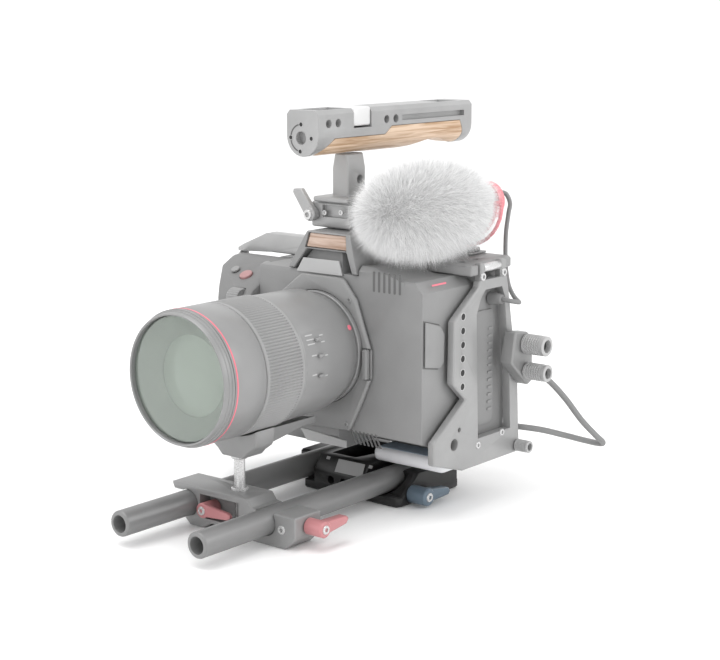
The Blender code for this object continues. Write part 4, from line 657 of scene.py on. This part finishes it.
rear_radius = barrel_high.x
skin("switch_panel", "camera", "lens_grey", [lens_coat],
     barrel_patch(0.0780, 0.0975, -24, 31, rear_radius - 0.0002, 0.0002))
panel_mark = coating("panel_mark", shade(0.72), 0.5, mottle=0.03)
mark_places = [(0.0885, 0.0945, 28), (0.0885, 0.0945, 24), (0.0885, 0.0945, 20), (0.0800, 0.0830, 26),
               (0.0800, 0.0830, 20), (0.0890, 0.0930, 10), (0.0795, 0.0825, 8), (0.0890, 0.0930, -7),
               (0.0795, 0.0825, -10)]
skin("switch_marks", "camera", "lens_grey", [panel_mark],
     *(barrel_patch(first, last, angle, angle + 1.0, rear_radius, 0.00012, 3)
       for first, last, angle in mark_places))
DOT_TURN = math.radians(28.3)
dot_out = (math.cos(DOT_TURN), 0.0, math.sin(DOT_TURN))
DOT_RADIUS = 0.0016
dot_centre = on_barrel(0.0518, math.degrees(DOT_TURN), 0.0342)
skin("mount_index_dot", "camera", "red_plastic", [red_dot],
     turned([(-0.0030, DOT_RADIUS), (0.0002, DOT_RADIUS), (0.0004, DOT_RADIUS * 0.8)], dot_centre, dot_out, 32))

# ---------------------------------------------------------------- the cage
# Grey anodised aluminium plates screwed round the camera: a thin floor, a left side frame with a strap bar, a
# deck with an arch over the hump, and a bar and guard over the grip. The arch wears a plain wooden badge.

cage_coat = coating("cage_anodised", shade(0.56), 0.40, metallic=0.2)
side_coat = coating("side_frame_anodised", shade(0.60), 0.40, metallic=0.2)
bar_coat = coating("bar_anodised", shade(0.67), 0.38, metallic=0.2)
dressed(cage_coat, "anodised_grey", "cage_bottom", "cage_top_plate", edge=0.0004)
dressed(side_coat, "anodised_grey", "cage_side_frame", edge=0.0004)
dressed(bar_coat, "anodised_grey", "cage_top_bar", edge=0.0004)

lip_painted_highlight = coating("hole_lip_highlight", shade(0.74), 0.35, metallic=0.4, mottle=0.03)
frame_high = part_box("cage_side_frame")[1]
skin("side_frame_screws", "camera", "steel", [bright_steel],
     socket_screw((frame_high.x, 0.0080, 0.1400), (1, 0, 0), 0.0024),
     socket_screw((frame_high.x, 0.0297, 0.1402), (1, 0, 0), 0.0024),
     socket_screw((frame_high.x, 0.0300, 0.0420), (1, 0, 0), 0.0022),
     socket_screw((frame_high.x, 0.0050, 0.0390), (1, 0, 0), 0.0022))
HOLE_PITCH = 0.0083
column_holes = [((frame_high.x, -0.0115, 0.0775 + HOLE_PITCH * i), (1, 0, 0), 0.0021) for i in range(6)]
# Each hole is a lighter lip, a painted highlight, round a dark disc of painted shade.
skin("side_frame_holes", "camera", "anodised_grey", [lip_painted_highlight, bore_painted_shade],
     *(grid for place in column_holes for grid in hole_mouth(*place)))
skin("strap_bar_pin", "camera", "steel", [bright_steel],
     turned([(0.0, 0.0024), (0.0003, 0.0026), (0.0165, 0.0026), (0.0168, 0.0024)], (0.0798, 0.0106, 0.1447),
            (0, 1, 0), 32))


def wooden(name, colour, dark, run):
    """Oiled wood whose grain runs along the axis numbered run: noise stretched along it draws the fibres, and
    a slower band of it draws the year rings."""
    made = bpy.data.materials.new(name)
    made.use_nodes = True
    nodes, links = made.node_tree.nodes, made.node_tree.links
    shader = nodes["Principled BSDF"]
    place = nodes.new("ShaderNodeTexCoord")
    stretch = nodes.new("ShaderNodeMapping")
    stretch.inputs["Scale"].default_value = [0.05 if axis == run else 1.0 for axis in range(3)]
    rings = nodes.new("ShaderNodeTexNoise")
    rings.inputs["Scale"].default_value = 420.0
    rings.inputs["Detail"].default_value = 6.0
    rings.inputs["Distortion"].default_value = 0.8
    fibres = nodes.new("ShaderNodeTexNoise")
    fibres.inputs["Scale"].default_value = 1500.0
    fibres.inputs["Detail"].default_value = 3.0
    tones = nodes.new("ShaderNodeValToRGB")
    tones.color_ramp.elements[0].position = 0.35
    tones.color_ramp.elements[0].color = dark
    tones.color_ramp.elements[1].position = 0.62
    tones.color_ramp.elements[1].color = colour
    streak = nodes.new("ShaderNodeMix")
    streak.data_type = "RGBA"
    streak.blend_type = "MULTIPLY"
    streak.inputs[7].default_value = (0.86, 0.80, 0.74, 1.0)
    bump = nodes.new("ShaderNodeBump")
    bump.inputs["Distance"].default_value = 0.00005
    bump.inputs["Strength"].default_value = 0.5
    links.new(place.outputs["Object"], stretch.inputs["Vector"])
    links.new(stretch.outputs["Vector"], rings.inputs["Vector"])
    links.new(stretch.outputs["Vector"], fibres.inputs["Vector"])
    links.new(rings.outputs["Fac"], tones.inputs["Fac"])
    links.new(fibres.outputs["Fac"], streak.inputs[0])
    links.new(tones.outputs["Color"], streak.inputs[6])
    links.new(streak.outputs[2], shader.inputs["Base Color"])
    links.new(fibres.outputs["Fac"], bump.inputs["Height"])
    links.new(bump.outputs["Normal"], shader.inputs["Normal"])
    shader.inputs["Roughness"].default_value = 0.5
    return made


badge_wood = wooden("badge_wood", shade(0.83, 0.75, 0.70), shade(0.66, 0.55, 0.48), 0)
dressed(badge_wood, "wood", "wooden_badge", edge=0.0003)

# ---------------------------------------------------------------- the top handle
# A dovetail rail and clamp carry a post, and on it a long aluminium handle with a wooden grip let into its
# underside. A bright push button on top frees the handle, and a lever with a bright screw tightens the clamp.

clamp_coat = coating("clamp_anodised", shade(0.64), 0.38, metallic=0.2)
handle_coat = coating("handle_anodised", shade(0.63), 0.36, metallic=0.25)
grip_wood = wooden("grip_wood", shade(0.88, 0.79, 0.70), shade(0.68, 0.55, 0.42), 1)
dressed(clamp_coat, "anodised_grey", "wedge_rail", "handle_clamp", "clamp_lever", edge=0.0004)
dressed(clamp_coat, "anodised_grey", "handle_post", edge=0.0005)
dressed(handle_coat, "anodised_grey", "handle_body", edge=0.0005)
dressed(grip_wood, "wood", "handle_wood_grip", edge=0.0004)
button_steel = coating("button_steel", shade(0.86), 0.35, metallic=0.2, mottle=0.03)
dressed(button_steel, "steel", "handle_button", edge=0.0003)
clamp_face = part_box("clamp_lever")[0].y
skin("clamp_lever_screw", "handle_lever", "steel", [bright_steel],
     socket_screw((-0.0154, clamp_face, 0.1732), (0, -1, 0), 0.0032))
clamp_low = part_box("handle_clamp")[0]
skin("clamp_face_screws", "handle", "steel", [bright_steel],
     socket_screw((-0.0068, clamp_low.y, 0.1745), (0, -1, 0), 0.0017),
     socket_screw((0.0060, clamp_low.y, 0.1755), (0, -1, 0), 0.0017))

handle_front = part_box("handle_body")[0].y
FACE_MIDDLE = (-0.0010, 0.2208)
ARC_RADIUS = 0.0078


def face_arc(first, last, radius, width, proud, count=28):
    """A flat strip on the handle's front face, along an arc about the bore from one angle to another."""
    angles = np.radians(np.linspace(first, last, count))[:, None]
    across = radius + np.array([-width, width, width, -width])[None]
    depth = np.broadcast_to(np.array([0.0002, 0.0002, -proud, -proud]), (count, 4))
    return np.stack([FACE_MIDDLE[0] + across * np.cos(angles), handle_front + depth,
                     FACE_MIDDLE[1] + across * np.sin(angles)], -1)


# The arc groove round the bore is a flat dark strip: painted shade where the groove lies.
groove_painted_shade = coating("handle_groove_shade", shade(0.34), 0.6, mottle=0.06)
pins = [(FACE_MIDDLE[0] + ARC_RADIUS * math.cos(math.radians(a)), handle_front,
         FACE_MIDDLE[1] + ARC_RADIUS * math.sin(math.radians(a))) for a in (0, 90, 180, 265)]
skin("handle_front_groove", "handle", "anodised_grey", [groove_painted_shade],
     face_arc(90, 180, ARC_RADIUS, 0.0004, 0.00008), face_arc(180, 265, ARC_RADIUS, 0.0004, 0.00008))
# Each hole is a lighter lip, a painted highlight, round a dark disc of painted shade.
skin("handle_front_holes", "handle", "anodised_grey", [lip_painted_highlight, bore_painted_shade],
     *(grid for pin in pins for grid in hole_mouth(pin, (0, -1, 0), 0.0013)))

# ---------------------------------------------------------------- the cable clamp and the knobs
# A bracket on the side frame holds the data cable under two knurled aluminium knobs. A thumb screw below
# fixes the cage's foot.

bracket_coat = coating("bracket_anodised", shade(0.55), 0.42, metallic=0.15)
knob_coat = coating("knob_anodised", shade(0.68), 0.34, metallic=0.35)
dressed(bracket_coat, "anodised_grey", "cable_clamp", edge=0.0005)
RIDGES = 7
for name, body in (("knob_upper", "knob_upper"), ("knob_lower", "knob_lower"),
                   ("bottom_thumb_screw", "thumb_screw")):
    low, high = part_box(name)
    radius, length = (high.z - low.z) / 2, high.x - low.x
    place = (low.x, (low.y + high.y) / 2, (low.z + high.z) / 2)
    rows = [(0.0, radius * 0.80), (0.0003, radius * 0.92)]
    for ridge in range(RIDGES):
        first, pitch = length * (0.04 + 0.76 * ridge / RIDGES), length * 0.76 / RIDGES
        rows += [(first, radius * 0.88), (first + 0.25 * pitch, radius, 0.0003),
                 (first + 0.70 * pitch, radius, 0.0003), (first + 0.95 * pitch, radius * 0.88)]
    rows += [(length * 0.82, radius * 0.98), (length - 0.0004, radius * 0.98), (length, radius * 0.92),
             (length, radius * 0.62), (length - 0.0030, radius * 0.52)]
    # The recess in the knob's end is floored with a dark disc of painted shade.
    knob = skin(name + "_knurled", body, "anodised_grey", [knob_coat, bore_painted_shade],
                turned(rows, place, (1, 0, 0), 96, 24),
                (turned([(length - 0.0029, radius * 0.50), (length - 0.0027, radius * 0.46),
                         (length - 0.0027, radius * 0.1)], place, (1, 0, 0), 32), 1))
    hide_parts(name)
plug_coat = coating("plug_rubber", shade(0.50), 0.55)
dressed(plug_coat, "moulded_grey", "data_plug", "mic_plug", edge=0.0004)

# ---------------------------------------------------------------- the microphone
# A tube microphone under a fur windscreen, held by two springy red arcs that stand on a shoe with a round
# locking knob.

tube_coat = coating("microphone_satin", shade(0.48), 0.4, metallic=0.2)
arc_plastic = coating("red_plastic", shade(0.86, 0.52, 0.55), 0.42, mottle=0.04)
foam = coating("windscreen_foam", shade(0.72), 0.95, mottle=0.15, grain=700.0, height=0.0003)
dressed(tube_coat, "anodised_grey", "mic_body", edge=0.0004)
dressed(arc_plastic, "red_plastic", "mic_suspension", edge=0.0)
dressed(cage_coat, "anodised_grey", "shoe_mount", "shoe_knob", edge=0.0003)
core = dressed(foam, "fur", "mic_windscreen", edge=0.0)[0]


PAINTED_FUR_GLOW = 0.34  # painted glow: the fibres give off light of their own colour by this share, in place of light that reaches a fibre through its neighbours


def fur_finish(name, root, tip):
    """Pale fibres: the colour runs from root to tip along each hair, and no two hairs have quite the same
    tone. Each fibre also glows with its own colour: painted light that stands in for the light reaching it
    through its neighbours."""
    made = bpy.data.materials.new(name)
    made.use_nodes = True
    nodes, links = made.node_tree.nodes, made.node_tree.links
    shader = nodes["Principled BSDF"]
    shader.inputs["Roughness"].default_value = 0.7
    shader.inputs["Sheen Weight"].default_value = 0.3
    place = nodes.new("ShaderNodeUVMap")
    place.uv_map = "hair"
    parts = nodes.new("ShaderNodeSeparateXYZ")
    tones = nodes.new("ShaderNodeValToRGB")
    tones.color_ramp.elements[0].color = root
    tones.color_ramp.elements[1].position = 0.75
    tones.color_ramp.elements[1].color = tip
    varied = nodes.new("ShaderNodeValToRGB")
    varied.color_ramp.elements[0].color = (0.52, 0.52, 0.52, 1.0)
    varied.color_ramp.elements[1].color = (1.0, 1.0, 1.0, 1.0)
    both = nodes.new("ShaderNodeMix")
    both.data_type = "RGBA"
    both.blend_type = "MULTIPLY"
    both.inputs[0].default_value = 1.0
    links.new(place.outputs["UV"], parts.inputs["Vector"])
    links.new(parts.outputs["Y"], tones.inputs["Fac"])
    links.new(parts.outputs["X"], varied.inputs["Fac"])
    links.new(tones.outputs["Color"], both.inputs[6])
    links.new(varied.outputs["Color"], both.inputs[7])
    links.new(both.outputs[2], shader.inputs["Base Color"])
    # The fibres glow with their own colour: painted light in place of light passing through neighbouring hairs.
    links.new(both.outputs[2], shader.inputs["Emission Color"])
    shader.inputs["Emission Strength"].default_value = PAINTED_FUR_GLOW
    return made


fur_low, fur_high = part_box("mic_windscreen")
fur_middle = np.array((fur_low + fur_high) / 2)
fur_radii = np.array((fur_high - fur_low) / 2)


def fur(name, seed, count, length, width, lean, material):
    """Tapered hairs rooted evenly on the windscreen's ellipsoid. Each leaves along the surface's normal, leans
    by a random share, and droops a little with the square of its length. A hair is two three-sided rings
    and a tip."""
    rng = np.random.default_rng(seed)
    index = np.arange(count) + 0.5
    height = 1 - 2 * index / count
    turn = np.pi * (1 + 5 ** 0.5) * index
    ball = np.stack([np.sqrt(1 - height ** 2) * np.cos(turn), height, np.sqrt(1 - height ** 2) * np.sin(turn)], -1)
    ball += rng.normal(0, 0.01, ball.shape)
    ball /= np.linalg.norm(ball, axis=1, keepdims=True)
    root = fur_middle + ball * (fur_radii - 0.0006)
    normal = ball / fur_radii
    normal /= np.linalg.norm(normal, axis=1, keepdims=True)
    noise = rng.normal(0, lean, normal.shape)
    aim = normal + noise + np.array((0.0, 0.0, -0.10))
    aim /= np.linalg.norm(aim, axis=1, keepdims=True)
    size = length * rng.uniform(0.65, 1.15, (count, 1))
    side = np.cross(aim, rng.normal(size=aim.shape))
    side /= np.linalg.norm(side, axis=1, keepdims=True)
    other = np.cross(aim, side)
    curl = side * rng.normal(0, 0.16, (count, 1)) * size + np.array((0, 0, -0.10)) * size
    half = root + aim * size * 0.5 + curl * 0.25
    tip = root + aim * size + curl
    t = np.radians((0, 120, 240))
    ring = np.cos(t)[None, :, None] * side[:, None] + np.sin(t)[None, :, None] * other[:, None]
    thick = width * rng.uniform(0.7, 1.2, (count, 1, 1))
    foot_ring = root[:, None] + ring * thick
    half_ring = half[:, None] + ring * thick * 0.7
    points = np.concatenate([foot_ring, half_ring, tip[:, None]], axis=1)
    base = np.arange(count)[:, None] * 7
    quads = np.stack([np.stack([base[:, 0] + a, base[:, 0] + b, base[:, 0] + b + 3, base[:, 0] + a + 3], -1)
                      for a, b in ((0, 1), (1, 2), (2, 0))], axis=1).reshape(-1, 4)
    tris = np.stack([np.stack([base[:, 0] + a + 3, base[:, 0] + b + 3, base[:, 0] + 6], -1)
                     for a, b in ((0, 1), (1, 2), (2, 0))], axis=1).reshape(-1, 3)
    corners = np.concatenate([quads.ravel(), tris.ravel()])
    sizes = np.concatenate([np.full(len(quads), 4), np.full(len(tris), 3)])
    mesh = bpy.data.meshes.new(name)
    mesh.vertices.add(points.shape[0] * 7)
    mesh.vertices.foreach_set("co", points.ravel().astype(np.float32))
    mesh.loops.add(len(corners))
    mesh.loops.foreach_set("vertex_index", corners.astype(np.int32))
    mesh.polygons.add(len(sizes))
    mesh.polygons.foreach_set("loop_start", np.concatenate([[0], np.cumsum(sizes)[:-1]]).astype(np.int32))
    mesh.polygons.foreach_set("loop_total", sizes.astype(np.int32))
    tone = rng.uniform(0, 1, count)
    share = np.array([0, 0, 0, 0.5, 0.5, 0.5, 1.0])
    uv = np.stack([tone[corners // 7], share[corners % 7]], -1)
    mesh.update(calc_edges=True)
    mesh.uv_layers.new(name="hair").data.foreach_set("uv", uv.ravel().astype(np.float32))
    mesh.shade_smooth()
    mesh.materials.append(material)
    piece = bpy.data.objects.new(name, mesh)
    bpy.context.scene.collection.objects.link(piece)
    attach(piece, "camera")
    return piece


under_fur = fur_finish("under_fur", shade(0.70), shade(0.92))
guard_fur = fur_finish("guard_fur", shade(0.80), shade(0.99))
fur("fur_under", 3, 18000, 0.0070, 0.00010, 0.34, under_fur)
fur("fur_guard_1", 5, 19000, 0.0100, 0.000075, 0.26, guard_fur)
fur("fur_guard_2", 8, 17000, 0.0125, 0.000065, 0.22, guard_fur)
